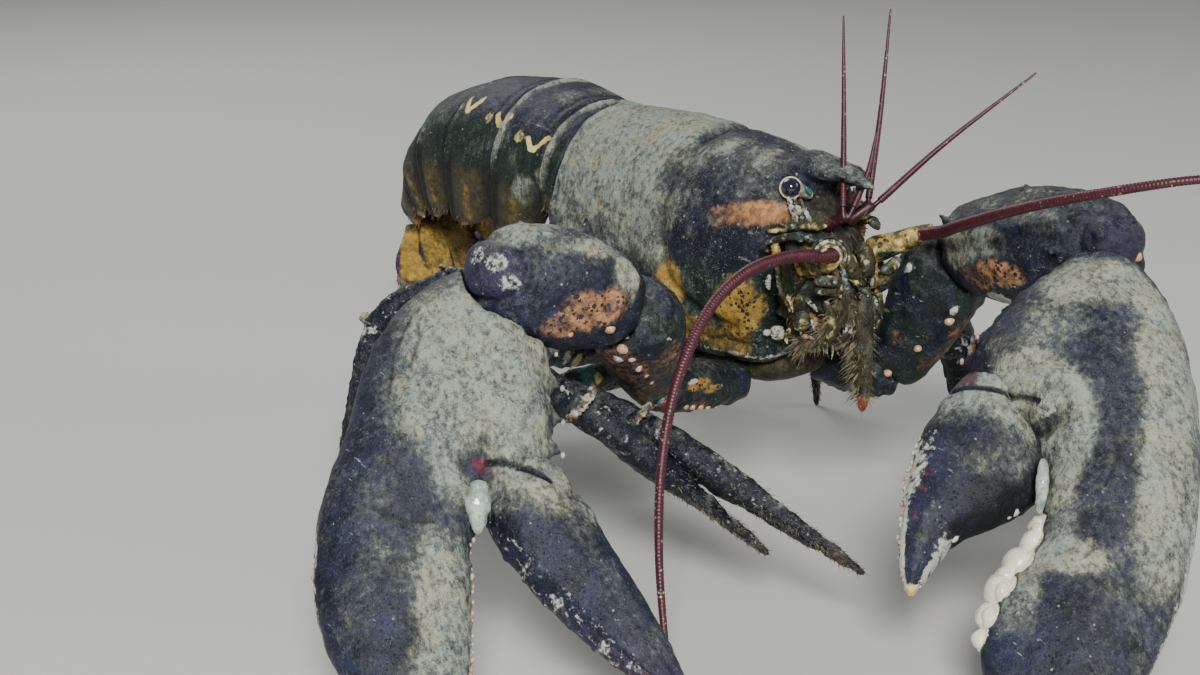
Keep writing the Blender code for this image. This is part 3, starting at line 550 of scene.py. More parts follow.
def grain_noise(tree, scale, detail=4.0, roughness=0.6, vector=None):
    if vector is None:
        vector = object_place(tree)
    made = add_node(tree, "ShaderNodeTexNoise", None,
                    {"Vector": vector, "Scale": scale, "Detail": detail, "Roughness": roughness})
    return made.outputs[0]


def full(colour):
    """A colour with its alpha."""
    return (*colour[:3], 1.0)


def shaded(colour, share):
    return [c * share for c in colour]


def new_material(name):
    """A material with its tree and its surface shader."""
    mat = bpy.data.materials.new(name)
    mat.use_nodes = True
    return mat, mat.node_tree, mat.node_tree.nodes["Principled BSDF"]


def bump_from(tree, shader, height, strength, depth):
    """Makes a height the surface's relief, by a depth in metres."""
    bumped = add_node(tree, "ShaderNodeBump", None,
                      {"Strength": strength, "Distance": depth, "Height": height})
    tree.links.new(bumped.outputs[0], shader.inputs["Normal"])


def new_group(name, inputs, outputs):
    """An empty shader node group, with the values it is given and the results it sends by name."""
    group = bpy.data.node_groups.new(name, "ShaderNodeTree")
    for socket, kind, value in inputs:
        made = group.interface.new_socket(socket, in_out="INPUT", socket_type=kind)
        made.default_value = value
    for socket, kind in outputs:
        group.interface.new_socket(socket, in_out="OUTPUT", socket_type=kind)
    return group, group.nodes.new("NodeGroupInput").outputs, group.nodes.new("NodeGroupOutput").inputs


FLOAT = "NodeSocketFloat"
COLOUR = "NodeSocketColor"
# Grains in the dust, the fixed tones under the shell's markings, and the near-black of painted shade and dark
# marks
SILT_DARK = (0.050, 0.064, 0.085, 1)
SILT_LIGHT = (0.54, 0.57, 0.47, 1)
GRAIN_DARK = (0.005, 0.006, 0.010, 1)
GRAIN_LIGHT = (0.115, 0.135, 0.190, 1)
DOT_BLACK = (0.012, 0.012, 0.014, 1)
FLECK_PALE = (0.30, 0.33, 0.31, 1)
SHADE_AND_MARK_BLACK = (0.006, 0.007, 0.008, 1)


def patch_group():
    """A marking with a ragged edge from a painted amount."""
    group, given, sent = new_group(
        "Ragged patch",
        (("Amount", FLOAT, 0.0), ("Scale", FLOAT, 300.0), ("Ragged", FLOAT, 0.6), ("Soft", FLOAT, 0.12)),
        (("Mask", FLOAT),))
    noise = grain_noise(group, given["Scale"], 5.0, 0.65)
    shifted = times(group, minus(group, noise, 0.5), given["Ragged"])
    present = soft_step(group, given["Amount"], 0.02, 0.25)
    shifted = times(group, shifted, times(group, present, 2.0))
    total = plus(group, given["Amount"], shifted)
    low = minus(group, 0.5, given["Soft"])
    high = plus(group, 0.5, given["Soft"])
    group.links.new(soft_step(group, total, low, high), sent["Mask"])
    return group


def silt_group():
    """Fine dust: thicker where the painted amount is high and the surface looks up."""
    tone = colours()
    group, given, sent = new_group(
        "Silt",
        (("Amount", FLOAT, 0.5), ("Pale", COLOUR, full(tone.silt_pale)),
         ("Warm", COLOUR, full(tone.silt_warm))),
        (("Mask", FLOAT), ("Colour", COLOUR), ("Height", FLOAT)))
    coarse = grain_noise(group, 75.0, 4.0, 0.6)
    middle = grain_noise(group, 330.0, 5.0, 0.7)
    fine = grain_noise(group, 1500.0, 3.0, 0.7)
    facing = add_node(group, "ShaderNodeNewGeometry").outputs["Normal"]
    up = add_node(group, "ShaderNodeSeparateXYZ", None, {0: facing})
    rise = soft_step(group, up.outputs["Z"], -0.6, 0.9)
    place_in = object_place(group)
    drawn = add_node(group, "ShaderNodeMapping", None,
                     {"Vector": place_in, "Rotation": (0.3, 0.2, 0.6), "Scale": (1.0, 0.8, 0.42)})
    streaks = grain_noise(group, 420.0, 5.0, 0.75, drawn.outputs[0])
    blend = plus(group, times(group, coarse, 0.8), times(group, middle, 1.1))
    blend = plus(group, blend, times(group, fine, 0.7))
    blend = plus(group, blend, times(group, streaks, 1.6))
    blend = minus(group, blend, 2.58)
    level = times(group, given["Amount"], plus(group, times(group, rise, 0.35), 0.75))
    depth = plus(group, blend, level)
    film = times(group, soft_step(group, depth, -0.25, 0.75), 0.44)
    mask = plus(group, film, times(group, soft_step(group, depth, 0.16, 0.66), 0.50))
    group.links.new(mask, sent["Mask"])
    warm = soft_step(group, grain_noise(group, 48.0, 4.0, 0.6), 0.42, 0.60)
    colour = mix(group, warm, given["Pale"], given["Warm"])
    speck = soft_step(group, grain_noise(group, 360.0, 5.0, 0.75), 0.46, 0.36)
    dark = mix(group, times(group, speck, 0.7), colour, SILT_DARK)
    light = soft_step(group, grain_noise(group, 480.0, 5.0, 0.75), 0.53, 0.68)
    group.links.new(mix(group, times(group, light, 0.6), dark, SILT_LIGHT), sent["Colour"])
    group.links.new(times(group, mask, plus(group, fine, middle)), sent["Height"])
    return group


def fleck_group():
    """Small scattered flecks of uneven size."""
    group, given, sent = new_group(
        "Flecks",
        (("Scale", FLOAT, 420.0), ("Size", FLOAT, 0.28), ("Amount", FLOAT, 0.5)),
        (("Mask", FLOAT),))
    place_in = object_place(group)
    cells = add_node(group, "ShaderNodeTexVoronoi", None, {"Vector": place_in, "Scale": given["Scale"]})
    random_size = add_node(group, "ShaderNodeSeparateColor", None, {0: cells.outputs["Color"]})
    present = maths(group, "LESS_THAN", random_size.outputs[0], given["Amount"])
    reach = times(group, given["Size"], plus(group, random_size.outputs[1], 0.35))
    wobble = times(group, minus(group, grain_noise(group, 1800.0), 0.5), 0.25)
    edge = minus(group, reach, plus(group, cells.outputs["Distance"], wobble))
    dot = soft_step(group, edge, 0.0, 0.09)
    group.links.new(times(group, dot, present), sent["Mask"])
    return group


def grit_group():
    """Fine pale grains, crowded in some places and sparse in others."""
    group, given, sent = new_group(
        "Grit", (("Amount", FLOAT, 0.5), ("Scale", FLOAT, 1000.0)), (("Mask", FLOAT),))
    grains = grain_noise(group, given["Scale"], 2.5, 0.75)
    crowd = times(group, minus(group, grain_noise(group, 110.0, 3.0, 0.6), 0.5), 0.35)
    more = times(group, minus(group, given["Amount"], 0.5), 0.25)
    level = plus(group, grains, plus(group, crowd, more))
    group.links.new(soft_step(group, level, 0.60, 0.69), sent["Mask"])
    return group


def relief_group():
    """Pits, grain and scratches of hard shell as a height."""
    group, given, sent = new_group(
        "Shell relief",
        (("Pits", FLOAT, 0.5), ("Scratches", FLOAT, 0.3)),
        (("Height", FLOAT), ("Scratch", FLOAT)))
    place_in = object_place(group)
    cells = add_node(group, "ShaderNodeTexVoronoi", None, {"Vector": place_in, "Scale": 520.0})
    pit = soft_step(group, cells.outputs["Distance"], 0.0, 0.34)
    fine = grain_noise(group, 1300.0, 4.0, 0.65)
    broad = grain_noise(group, 190.0, 3.0, 0.5)
    stretch = add_node(group, "ShaderNodeMapping", None,
                       {"Vector": place_in, "Rotation": (0.5, 0.8, 0.4), "Scale": (1.0, 0.09, 0.55)})
    lines = grain_noise(group, 700.0, 3.0, 0.6, stretch.outputs[0])
    scratch = soft_step(group, lines, 0.655, 0.72)
    scratch = times(group, scratch, soft_step(group, grain_noise(group, 60.0), 0.45, 0.6))
    height = plus(group, times(group, pit, given["Pits"]), times(group, fine, 0.5))
    height = plus(group, height, broad)
    height = minus(group, height, times(group, scratch, given["Scratches"]))
    group.links.new(height, sent["Height"])
    group.links.new(scratch, sent["Scratch"])
    return group


def mottle_group():
    """Two shell colours run into each other in clouds with a finer grain."""
    group, given, sent = new_group(
        "Mottle", (("Dark", COLOUR, (0, 0, 0, 1)), ("Light", COLOUR, (1, 1, 1, 1)), ("Scale", FLOAT, 80.0)),
        (("Colour", COLOUR),))
    clouds = grain_noise(group, given["Scale"], 5.0, 0.62)
    fine = grain_noise(group, 1100.0, 3.0, 0.6)
    value = plus(group, times(group, clouds, 0.75), times(group, fine, 0.35))
    amount = soft_step(group, value, 0.42, 0.72)
    group.links.new(mix(group, amount, given["Dark"], given["Light"]), sent["Colour"])
    return group


GROUPS = {
    "Ragged patch": patch_group, "Silt": silt_group, "Flecks": fleck_group,
    "Grit": grit_group, "Shell relief": relief_group, "Mottle": mottle_group,
}


def use_group(tree, name, values):
    """A node of a shader group, which is made at its first use."""
    group = bpy.data.node_groups.get(name) or GROUPS[name]()
    return add_node(tree, "ShaderNodeGroup", {"node_tree": group}, values)


def painted(tree, name):
    return add_node(tree, "ShaderNodeAttribute", {"attribute_name": name}).outputs["Fac"]


def marking(tree, name, scale, ragged, soft):
    """Mask of a painted marking with a ragged edge."""
    values = {"Amount": painted(tree, name), "Scale": scale, "Ragged": ragged, "Soft": soft}
    return use_group(tree, "Ragged patch", values).outputs[0]


def mottled(tree, dark, light, scale):
    values = {"Dark": full(dark), "Light": full(light), "Scale": scale}
    return use_group(tree, "Mottle", values).outputs[0]


def flecks_of(tree, scale, size, amount):
    return use_group(tree, "Flecks", {"Scale": scale, "Size": size, "Amount": amount}).outputs[0]


# How strongly the shells mirror the light: less than bare plastic, because they are dusty
SHELL_SHINE = 0.27
# Colour washes of the shell, each with the strength of its darker tone
WASHES = (("violet", 0.5), ("green", 0.45), ("olive", 0.35), ("teal", 0.35))


def shell_ground(tree, dark, light, cloud):
    """Mottled slate with the washes, dark and pale grain and the two warm markings with their dots."""
    tone = colours()
    ground = mottled(tree, dark, light, cloud)
    for wash, deeper in WASHES:
        colour = getattr(tone, wash)
        second = mottled(tree, shaded(colour, deeper), colour, 150.0)
        ground = mix(tree, marking(tree, wash, 190.0, 0.9, 0.3), ground, second)
    grain = soft_step(tree, grain_noise(tree, 560.0, 6.0, 0.8), 0.53, 0.40)
    ground = mix(tree, times(tree, grain, 0.62), ground, GRAIN_DARK)
    light_grain = soft_step(tree, grain_noise(tree, 640.0, 6.0, 0.8), 0.55, 0.66)
    ground = mix(tree, times(tree, light_grain, 0.35), ground, GRAIN_LIGHT)
    spots = flecks_of(tree, 480.0, 0.50, 0.58)
    blotches = soft_step(tree, grain_noise(tree, 300.0, 3.0, 0.6), 0.59, 0.64)
    spots = maths(tree, "MAXIMUM", spots, blotches)
    for name in ("ochre", "orange"):
        colour = getattr(tone, name)
        second = mottled(tree, shaded(colour, 0.45), colour, 260.0)
        second = mix(tree, times(tree, spots, times(tree, painted(tree, "dots"), 0.95)), second, DOT_BLACK)
        ground = mix(tree, marking(tree, name, 260.0, 0.6, 0.42), ground, second)
    return ground


def shell_material(name, dark, light, cloud, specks, speck_size, pits, scratches, gloss, bump):
    """Hard shell: mottled ground, painted markings, flecks, worn edges and painted highlights, silt over all,
    then painted shade and dark marks in near-black.
    """
    if name in bpy.data.materials:
        return bpy.data.materials[name]
    tone = colours()
    mat, tree, shader = new_material(name)
    ground = shell_ground(tree, dark, light, cloud)
    for attribute, colour in (("plum", shaded(tone.maroon, 1.8)), ("cream", tone.cream),
                              ("tip", tone.tip_red), ("worn", tone.worn), ("bone", tone.enamel)):
        ragged = 0.45 if attribute == "cream" else 1.0
        ground = mix(tree, marking(tree, attribute, 420.0, ragged, 0.2), ground, full(colour))
    relief = use_group(tree, "Shell relief", {"Pits": pits, "Scratches": scratches})
    ground = mix(tree, times(tree, relief.outputs["Scratch"], scratches), ground, full(tone.worn))
    large = flecks_of(tree, 420.0, speck_size, specks * 0.22)
    grit = use_group(tree, "Grit", {"Amount": specks, "Scale": 950.0}).outputs[0]
    flecks = maths(tree, "MAXIMUM", large, times(tree, grit, 0.8))
    flecks = times(tree, flecks, minus(tree, 1.0, painted(tree, "bare"), True))
    ground = mix(tree, times(tree, flecks, 0.6), ground, FLECK_PALE)
    silt = use_group(tree, "Silt", {"Amount": painted(tree, "silt")})
    ground = mix(tree, times(tree, silt.outputs["Mask"], 0.93), ground, silt.outputs["Colour"])
    # Painted shade: grooves, gaps, hollows and undersides darken toward near-black by the painted amount,
    # which also carries a few dark marks
    deep = times(tree, painted(tree, "deep"), 0.85)
    ground = mix(tree, deep, ground, SHADE_AND_MARK_BLACK)
    tree.links.new(ground, shader.inputs["Base Color"])
    dull = plus(tree, times(tree, silt.outputs["Mask"], 0.42), gloss)
    dull = plus(tree, dull, times(tree, relief.outputs["Height"], 0.06))
    tree.links.new(maths(tree, "MINIMUM", dull, 0.95), shader.inputs["Roughness"])
    shader.inputs["Specular IOR Level"].default_value = SHELL_SHINE
    height = plus(tree, relief.outputs["Height"], times(tree, silt.outputs["Height"], 0.9))
    height = plus(tree, height, times(tree, flecks, 0.6))
    bump_from(tree, shader, height, bump, 0.0009)
    return mat


def plain_material(name, dark, light, scale=400.0, gloss=0.4, bump=0.3, coat=0.0):
    """Small parts: two tones in a fine grain."""
    if name in bpy.data.materials:
        return bpy.data.materials[name]
    mat, tree, shader = new_material(name)
    ground = mottled(tree, dark, light, scale)
    for attribute, colour in (("tip", colours().tip_red), ("worn", colours().worn)):
        ground = mix(tree, marking(tree, attribute, 520.0, 0.4, 0.25), ground, full(colour))
    tree.links.new(ground, shader.inputs["Base Color"])
    relief = use_group(tree, "Shell relief", {"Pits": 0.2, "Scratches": 0.1})
    tree.links.new(plus(tree, times(tree, relief.outputs[0], 0.1), gloss), shader.inputs["Roughness"])
    bump_from(tree, shader, relief.outputs[0], bump, 0.0004)
    shader.inputs["Coat Weight"].default_value = coat
    return mat


def hair_material():
    tone = colours().hair
    return plain_material("Hair", shaded(tone, 0.45), [min(c * 2.0, 1) for c in tone], 350.0, 0.6, 0.1)


# Shell finishes: dark and light tone, each a colour and its share, then how fine the clouds are, amount and
# size of the flecks, pits, scratches, roughness and relief
FINISHES = {
    "Carapace shell": (("slate_dark", 1.0), ("slate_blue", 0.62), (90.0, 0.50, 0.30, 0.6, 0.3, 0.36, 0.75)),
    "Dark shell": (("slate_dark", 1.0), ("slate_blue", 0.75), (110.0, 0.35, 0.26, 0.5, 0.5, 0.34, 0.75)),
    "Claw shell": (("slate_dark", 1.0), ("slate_blue", 1.0), (60.0, 0.30, 0.24, 0.45, 0.6, 0.36, 0.75)),
    "Leg shell": (("slate_dark", 1.0), ("slate_blue", 0.32), (200.0, 0.50, 0.30, 0.6, 0.8, 0.30, 0.75)),
    "Olive shell": (("olive", 0.18), ("olive", 1.2), (190.0, 0.4, 0.34, 0.5, 0.3, 0.42, 0.75)),
    "Fan shell": (("olive", 0.5), ("ochre", 0.55), (120.0, 0.2, 0.2, 0.4, 0.5, 0.36, 0.75)),
    "Joint skin": (("teal", 0.4), ("teal", 1.5), (90.0, 0.3, 0.2, 0.2, 0.1, 0.14, 0.3)),
}


def shell_finish(name):
    """One of the shell finishes by its name."""
    *ends, pattern = FINISHES[name]
    dark, light = (shaded(getattr(colours(), key), share) for key, share in ends)
    return shell_material(name, dark, light, *pattern)


# Carapace: the groove round the neck, from the top of the back down to the cheek
CERVICAL = (
    (0, -88, 206), (14, -87, 203), (26, -86, 196), (35, -84, 184), (41, -84, 170),
    (44, -86, 155), (44, -92, 138), (42, -101, 127), (41, -115, 121), (38, -132, 118),
)
# Rear edge: how far back it lies at the top and at the bottom, each with its height
REAR_TOP = (-1.5, 203.0)
REAR_LOW = (7.0, 112.0)
LOWER_EDGE = 99
CHEEK = ((37, -134, 128), (30, 15, 19))
SIDE_SPOT = ((43.5, -92.5, 134), (30, 6.5, 10))
BROW = ((27, -146, 173), (32, -132, 177), (36, -116, 178))
# Markings of the left half, which the right half repeats: centre, half sizes and strength
ORANGE_BAND = (
    ((36, -122, 171), (11, 11, 6), 0.42), ((32, -131, 173.5), (11, 12, 6.5), 0.62),
    ((28.5, -139, 175), (11, 11, 6.4), 0.82), ((25, -147, 175.5), (10, 11, 6.2), 0.95),
)
YELLOW_PATCHES = (
    (CHEEK[0], (14, 14.5, 17), 1.0), (SIDE_SPOT[0], (12, 9.5, 12.5), 1.0),
    ((38, -100, 113), (14, 24, 9), 0.55), ((36, -128, 109), (14, 20, 9), 0.52),
)
CHEEK_DOTS = ((CHEEK[0], (16, 17, 20), 1.0),)
GREEN_SIDES = (((40, -108, 130), (14, 12, 18), 1.0), ((30, -147, 128), (10, 6, 22), 1.4))
CLEAN_SIDES = (((42, -66, 128), (12, 20, 20), 1.0), ((42, -20, 118), (12, 20, 14), 0.5))
DUSTY_NECK = (((40, -88, 158), (8, 6, 30), 1.0), ((42, -96, 146), (8, 4, 9), 1.0))
# Red tips of the spines of the beak and behind the eye
BEAK_TIPS = (
    (11.5, -165, 196.5), (8.5, -173.5, 195.5), (5.6, -180.5, 194), (19.5, -151, 194.5),
    (31.5, -159, 172.5), (35, -152, 159),
)


def sculpt_carapace(obj, p, sided, neck, back):
    """Grooves, swollen edges and the fine unevenness of the back; returns how far the rear rim shows."""
    x, y, z = sided.T
    height = groove(neck, 3.4, 2.0) + ridge(neck - 6, 4, 0.6)
    height += np.where(y > -86, groove(x, 0.9, 0.5), 0)
    outer = smooth(x + (z > 195) * 50 + (z > 108) * 40, 30, 40)
    height += outer * (ridge(back - 2.0, 2.0, 0.9) + groove(back - 6.0, 1.6, 0.9))
    low_edge = z - LOWER_EDGE
    height += ridge(low_edge - 5, 2.5, 0.9) + groove(low_edge - 10, 1.8, 0.8)
    cheek = np.linalg.norm((sided - CHEEK[0]) / CHEEK[1], axis=1)
    height += 1.2 * (1 - smooth(cheek, 0.5, 1.0)) + groove((cheek - 1.08) * 15, 2.0, 0.9)
    spot = np.linalg.norm((sided - SIDE_SPOT[0]) / SIDE_SPOT[1], axis=1)
    height += 1.0 * (1 - smooth(spot, 0.4, 1.1))
    height += ridge(line_distance(sided, BROW)[0], 3.2, 0.9)
    height += smooth(-y, 150, 160) * groove(x - 3.2, 1.6, 0.8)
    height += rough(p, 1, (0.55, 11), (0.28, 4.2), (0.16, 2.1))
    push(obj, height)
    return outer


def build_carapace():
    obj = shell_over("carapace", sizes().grain)
    p, n = read_surface(obj)
    sided = mirrored(p)
    x, y, z = sided.T
    neck, _ = line_distance(sided, CERVICAL)
    slope = (REAR_LOW[0] - REAR_TOP[0]) / (REAR_TOP[1] - REAR_LOW[1])
    back = REAR_TOP[0] + (REAR_TOP[1] - z) * slope - y
    outer = sculpt_carapace(obj, p, sided, neck, back)
    front = smooth(-y + 0.15 * (z - 150) + 9 * swell(p, 16, 7), 74, 102)
    top = smooth(z, 150, 190)
    silt = (1 - front) * (0.94 + 0.26 * top) + front * (0.20 + 0.18 * top)
    crown = ridge(z - 199, 7) * smooth(-y, 84, 96) * (1 - smooth(-y, 128, 146))
    silt += 0.36 * crown * (x > 6) + front * 0.30 * swell(p, 8, 8) - 0.08 * (x < 10) * front
    silt += 0.22 * blobs(sided, DUSTY_NECK) - 0.45 * blobs(sided, CLEAN_SIDES)
    silt += 0.24 * swell(p, 15, 5) + 0.5 * smooth(-y, 146, 158) * (0.8 + 0.6 * swell(p, 6, 6))
    ochre = blobs(sided, YELLOW_PATCHES)
    ochre *= 1 - smooth(-y - 0.35 * (z - 128), 143, 147)
    orange = blobs(sided, ORANGE_BAND)
    worn = outer * ridge(back - 1.6, 1.4, 0.55) + ridge(z - LOWER_EDGE - 4.6, 1.5, 0.5)
    stain(obj,
          silt=silt * (1 - 0.75 * np.clip(orange + ochre, 0, 1)),
          green=0.62 * smooth(168 - z, 0, 34) + 0.5 * blobs(sided, GREEN_SIDES),
          ochre=ochre,
          dots=blobs(sided, CHEEK_DOTS),
          orange=orange,
          worn=worn,
          tip=0.6 * (1 - smooth(nearest(sided, BEAK_TIPS), 1.5, 4.5)),
          # Painted shade in the neck groove and on faces that turn down
          deep=ridge(neck, 1.5, 0.75) * (z < 182) + smooth(-n[:, 2], 0.75, 0.95) * 0.5,
          bare=orange * 0.7 + ochre * 0.6)
    finish_piece(obj, "Carapace shell", "shell_silted", "carapace")


# Abdomen: hinge lines before and behind each ring, each with its top and its lower end
JOINTS = (
    ((-6.0, 200.0), (2.0, 128.0)),
    ((9.0, 205.5), (16.0, 128.0)),
    ((48.0, 212.0), (57.0, 126.0)),
    ((95.0, 207.0), (96.0, 126.0)),
    ((130.0, 195.0), (121.0, 125.0)),
    ((152.0, 171.0), (138.0, 121.0)),
    ((167.0, 131.0), (148.0, 112.0)),
)
# Pale yellow hooks on the upper flanks and the yellow patches beside them
HOOKS = (((38.5, 22, 182.5), 1.0), ((38.5, 53, 190.5), 1.0), ((34, 85, 194), 0.9))
HOOK_SHAPE = ((0.5, 4.5, 4.5), (0, 0.5, -0.5), (-0.2, -1.5, -0.5), (-0.5, -7.5, 5.5))
HOOK_PATCHES = (
    ((41, 33, 187), (8, 4.5, 4.0), 1.0), ((40, 63, 193), (8, 4, 4), 1.0),
    ((38, 36, 176), (8, 3, 3), 0.8), ((30, 93, 193), (8, 5, 4), 0.9),
)
FLANK_DUST = (((42.6, 24, 160), (10, 10, 9), 1.0), ((41, 14, 168), (9, 4, 7), 0.8))
BACK_DUST = (((12, 25, 206), (12, 7, 8), 1.0),)


def abdomen_share(sided, number):
    """Share of the ring's length from its front joint, share of the way down, and the ring's length there."""
    (t0, p0), (t1, p1) = JOINTS[number - 1:number + 1]
    down = np.clip((t0[1] - sided[:, 2]) / (t0[1] - p0[1]), 0, 1)
    a = np.outer(1 - down, t0) + np.outer(down, p0)
    b = np.outer(1 - down, t1) + np.outer(down, p1)
    run = b - a
    return ((sided[:, 1:] - a) * run).sum(axis=1) / (run * run).sum(axis=1), down, np.linalg.norm(run, axis=1)


def hook_marks(p, sided):
    """The pale hooks, drawn by their place from the side, with the patches beside them."""
    flat = (0, 1, 1)
    cream = np.zeros(len(p))
    for hook, strength in HOOKS:
        near, _ = line_distance(sided * flat, (np.array(hook, float) + np.array(HOOK_SHAPE)) * flat)
        line = strength * (0.78 + 0.25 * swell(p, 2.4, 17)) * (1 - smooth(near, 0.9, 2.5))
        cream = np.maximum(cream, line * (sided[:, 0] > 20))
    return np.maximum(cream, 0.50 * blobs(sided, HOOK_PATCHES))


def build_abdomen_ring(number):
    node = "abdomen_%d" % number
    obj = shell_over(node, sizes().grain)
    p = read_points(obj)
    sided = mirrored(p)
    share, down, run = abdomen_share(sided, number)
    from_rear = (1 - share) * run
    shown = smooth(sided[:, 0] + (sided[:, 2] > 175) * 60, 34, 40)
    height = shown * (ridge(from_rear - 1.6, 1.6, 0.8) + groove(from_rear - 5.2, 1.5, 0.7))
    height += shown * groove(share * run - 8.5, 1.6, 0.8) * (number > 1)
    flank = smooth(down, 0.5, 0.62) * (1 - smooth(down, 0.8, 0.95))
    height += shown * flank * 1.6 * np.cos((share - 0.55) * 3.6)
    push(obj, height + rough(p, 11, (0.30, 8), (0.16, 3.0)))
    silt = 0.26 + 0.34 * swell(p, 11, 13) - 0.25 * smooth(down, 0.45, 0.7)
    silt += ridge(from_rear - 2.6, 3.0, 0.75) * (1 - smooth(down, 0.35, 0.6)) * (1.0 if number <= 2 else 0.4)
    silt += 1.1 * blobs(sided, FLANK_DUST) + 0.4 * blobs(sided, BACK_DUST)
    ochre = 0.41 * smooth(down, 0.52, 0.72) * (1 - smooth(down, 0.9, 1.0)) * ridge(share - 0.5, 0.13)
    # Painted shade between the side plates and under the rear edge of the ring in front
    deep = smooth(down, 0.46, 0.58) * (smooth(share, 0.68, 0.86) + 1 - smooth(share, 0.10, 0.32)) * 0.98
    plate_tip = 0.35 * np.array(JOINTS[number - 1][1]) + 0.65 * np.array(JOINTS[number][1])
    tip_far = np.linalg.norm((sided[:, 1:] - plate_tip) / (9, 7), axis=1)
    stain(obj,
          silt=silt,
          olive=smooth(down, 0.45, 0.62) * (0.8 + 0.2 * swell(p, 10, 14)),
          green=0.85 * smooth(down, 0.08, 0.34) * (1 - smooth(down, 0.6, 0.8)) + 0.1 * swell(p, 9, 15),
          ochre=ochre * (0.8 + 0.3 * swell(p, 5, 16)),
          deep=np.maximum(deep, 0.85 * (1 - smooth(share * run, 1.0, 7.0)) * shown),
          orange=1.2 * (1 - smooth(tip_far, 0.35, 0.85)),
          cream=hook_marks(p, sided),
          worn=ridge(from_rear - 1.0, 1.3, 0.6) * (down < 0.5),
          bare=smooth(down, 0.5, 0.8) * 0.7)
    finish_piece(obj, "Dark shell", "shell_dark", node)
    lower = (sided[:, 2] < sided[:, 2].min() + 8) & (sided[:, 0] > 20)
    roots, normals, rng = pick_roots(obj, lower.astype(float), 90, number)
    add_hairs(node + "_fringe", roots, normals * 0.4 + (0, 0.25, -1.0), rng, (1.5, 3.5),
              (0, 0.2, -0.1), number)


def build_abdomen():
    for number in range(1, 7):
        build_abdomen_ring(number)


# Tail fan: root and tip of each plate, on the left where it has two
FAN = {
    "telson": ((0, 163.0, 122.0), (0, 131.0, 79.0)),
    "uropod_inner": ((17.5, 154.5, 114.0), (27.0, 129.0, 81.0)),
    "uropod_outer": ((26.5, 152.0, 113.0), (46.0, 125.0, 85.0)),
}
# How much of the yellow each plate carries; the telson and inner plates carry less as painted shade
FAN_OCHRE_WITH_PAINTED_SHADE = {"telson": 0.30, "uropod_inner": 0.55, "uropod_outer": 1.0}


def build_fan_plate(kind, node, sign):
    obj = shell_over(node, sizes().fine_grain, 2, 4, 0.25, node + "_plate")
    p, n = read_surface(obj)
    start, end = (np.array(q, float) * (sign, 1, 1) for q in FAN[kind])
    line = end - start
    share = ((p - start) @ line) / (line @ line)
    across = p[:, 0] - (start[0] + share * line[0])
    half = np.maximum(np.abs(across).max(), 1)
    ribs = 0.16 * np.cos(across * 1.1) * smooth(share, 0.3, 0.7)
    keel = ridge(across, 1.8, 0.8)
    push(obj, (ribs + keel) * np.sign(n[:, 1] + 0.3 * n[:, 2]) * 0.5 + 0.5 * keel + 0.12 * swell(p, 3, 21))
    rim = np.clip(smooth(np.abs(across) / half, 0.66, 0.9) + smooth(share, 0.86, 0.98), 0, 1)
    stain(obj,
          # Less yellow on the telson and inner plates is painted shade
          ochre=(1.0 - 0.9 * rim) * smooth(share, 0.05, 0.25) * FAN_OCHRE_WITH_PAINTED_SHADE[kind],
          violet=0.95 * rim,
          tip=0.30 * rim,
          silt=0.14 + 0.1 * swell(p, 9, 22),
          # Painted shade at the plate's root, where it meets the tail
          deep=(1 - smooth(share, 0.0, 0.10)) * 0.7,
          bare=1 + 0 * share)
    finish_piece(obj, "Fan shell", "shell_ochre", node)
    edge = (share > 0.86) & (np.abs((n * unit(line)).sum(axis=1)) > 0.2)
    roots, normals, rng = pick_roots(obj, edge.astype(float), 420, 30 + len(node))
    add_hairs(node + "_fringe", roots, unit(line) + normals * 0.15, rng, (5, 8),
              (0, 0, -0.15), 31)


def build_tail_fan():
    build_fan_plate("telson", "telson", 1)
    for kind in ("uropod_inner", "uropod_outer"):
        for side, sign in SIDES:
            build_fan_plate(kind, kind + "_" + side, sign)


# Great claws
def claw_axes(side):
    data = CLAWS[side]
    wrist = np.array(data["wrist"], float)
    along = np.array(data["tip"], float) - wrist
    length = np.linalg.norm(along)
    along = along / length
    facing = np.array(data["facing"], float)
    facing = unit(facing - along * (facing @ along))
    return wrist, along, np.cross(along, facing), facing, length


def claw_places(points, side):
    """How far along, across and out of the broad face each point lies."""
    wrist, along, across, facing, _ = claw_axes(side)
    d = points - wrist
    return d @ along, d @ across, d @ facing


def claw_point(side, u, v, w=0.0):
    wrist, along, across, facing, _ = claw_axes(side)
    return wrist + along * u + across * v + facing * w


# Dust on the broad faces: place along and across the claw, half sizes and strength, below 0 where it is bare
CLAW_SILT = {
    "right": (
        (22, 12, 28, 32, 0.85), (46, -10, 34, 26, 1.0), (56, 20, 34, 26, 0.8), (76, -16, 22, 18, 0.8),
        (84, 8, 18, 18, 0.3), (100, 30, 22, 30, -0.1), (134, 6, 26, 16, 0.7), (156, 2, 30, 16, 0.95),
        (136, 52, 40, 10, -0.2), (190, 8, 26, 18, 0.7), (120, 40, 50, 12, 0.25), (70, 48, 50, 8, -0.1),
    ),
    "left": (
        (20, -10, 16, 34, 0.85), (46, -44, 36, 20, 1.0), (95, -50, 44, 18, 1.05),
        (134, -48, 28, 16, 0.75), (76, 14, 16, 22, 1.0), (96, -8, 18, 9, 0.85), (112, -4, 16, 8, 0.8),
        (60, -10, 13, 20, -0.2), (118, -26, 34, 8, -0.15), (150, -12, 9, 20, 1.0), (132, -6, 16, 9, 0.7),
        (186, -14, 24, 30, -0.15), (168, 6, 26, 10, 0.75), (44, 8, 20, 16, 0.45),
    ),
}
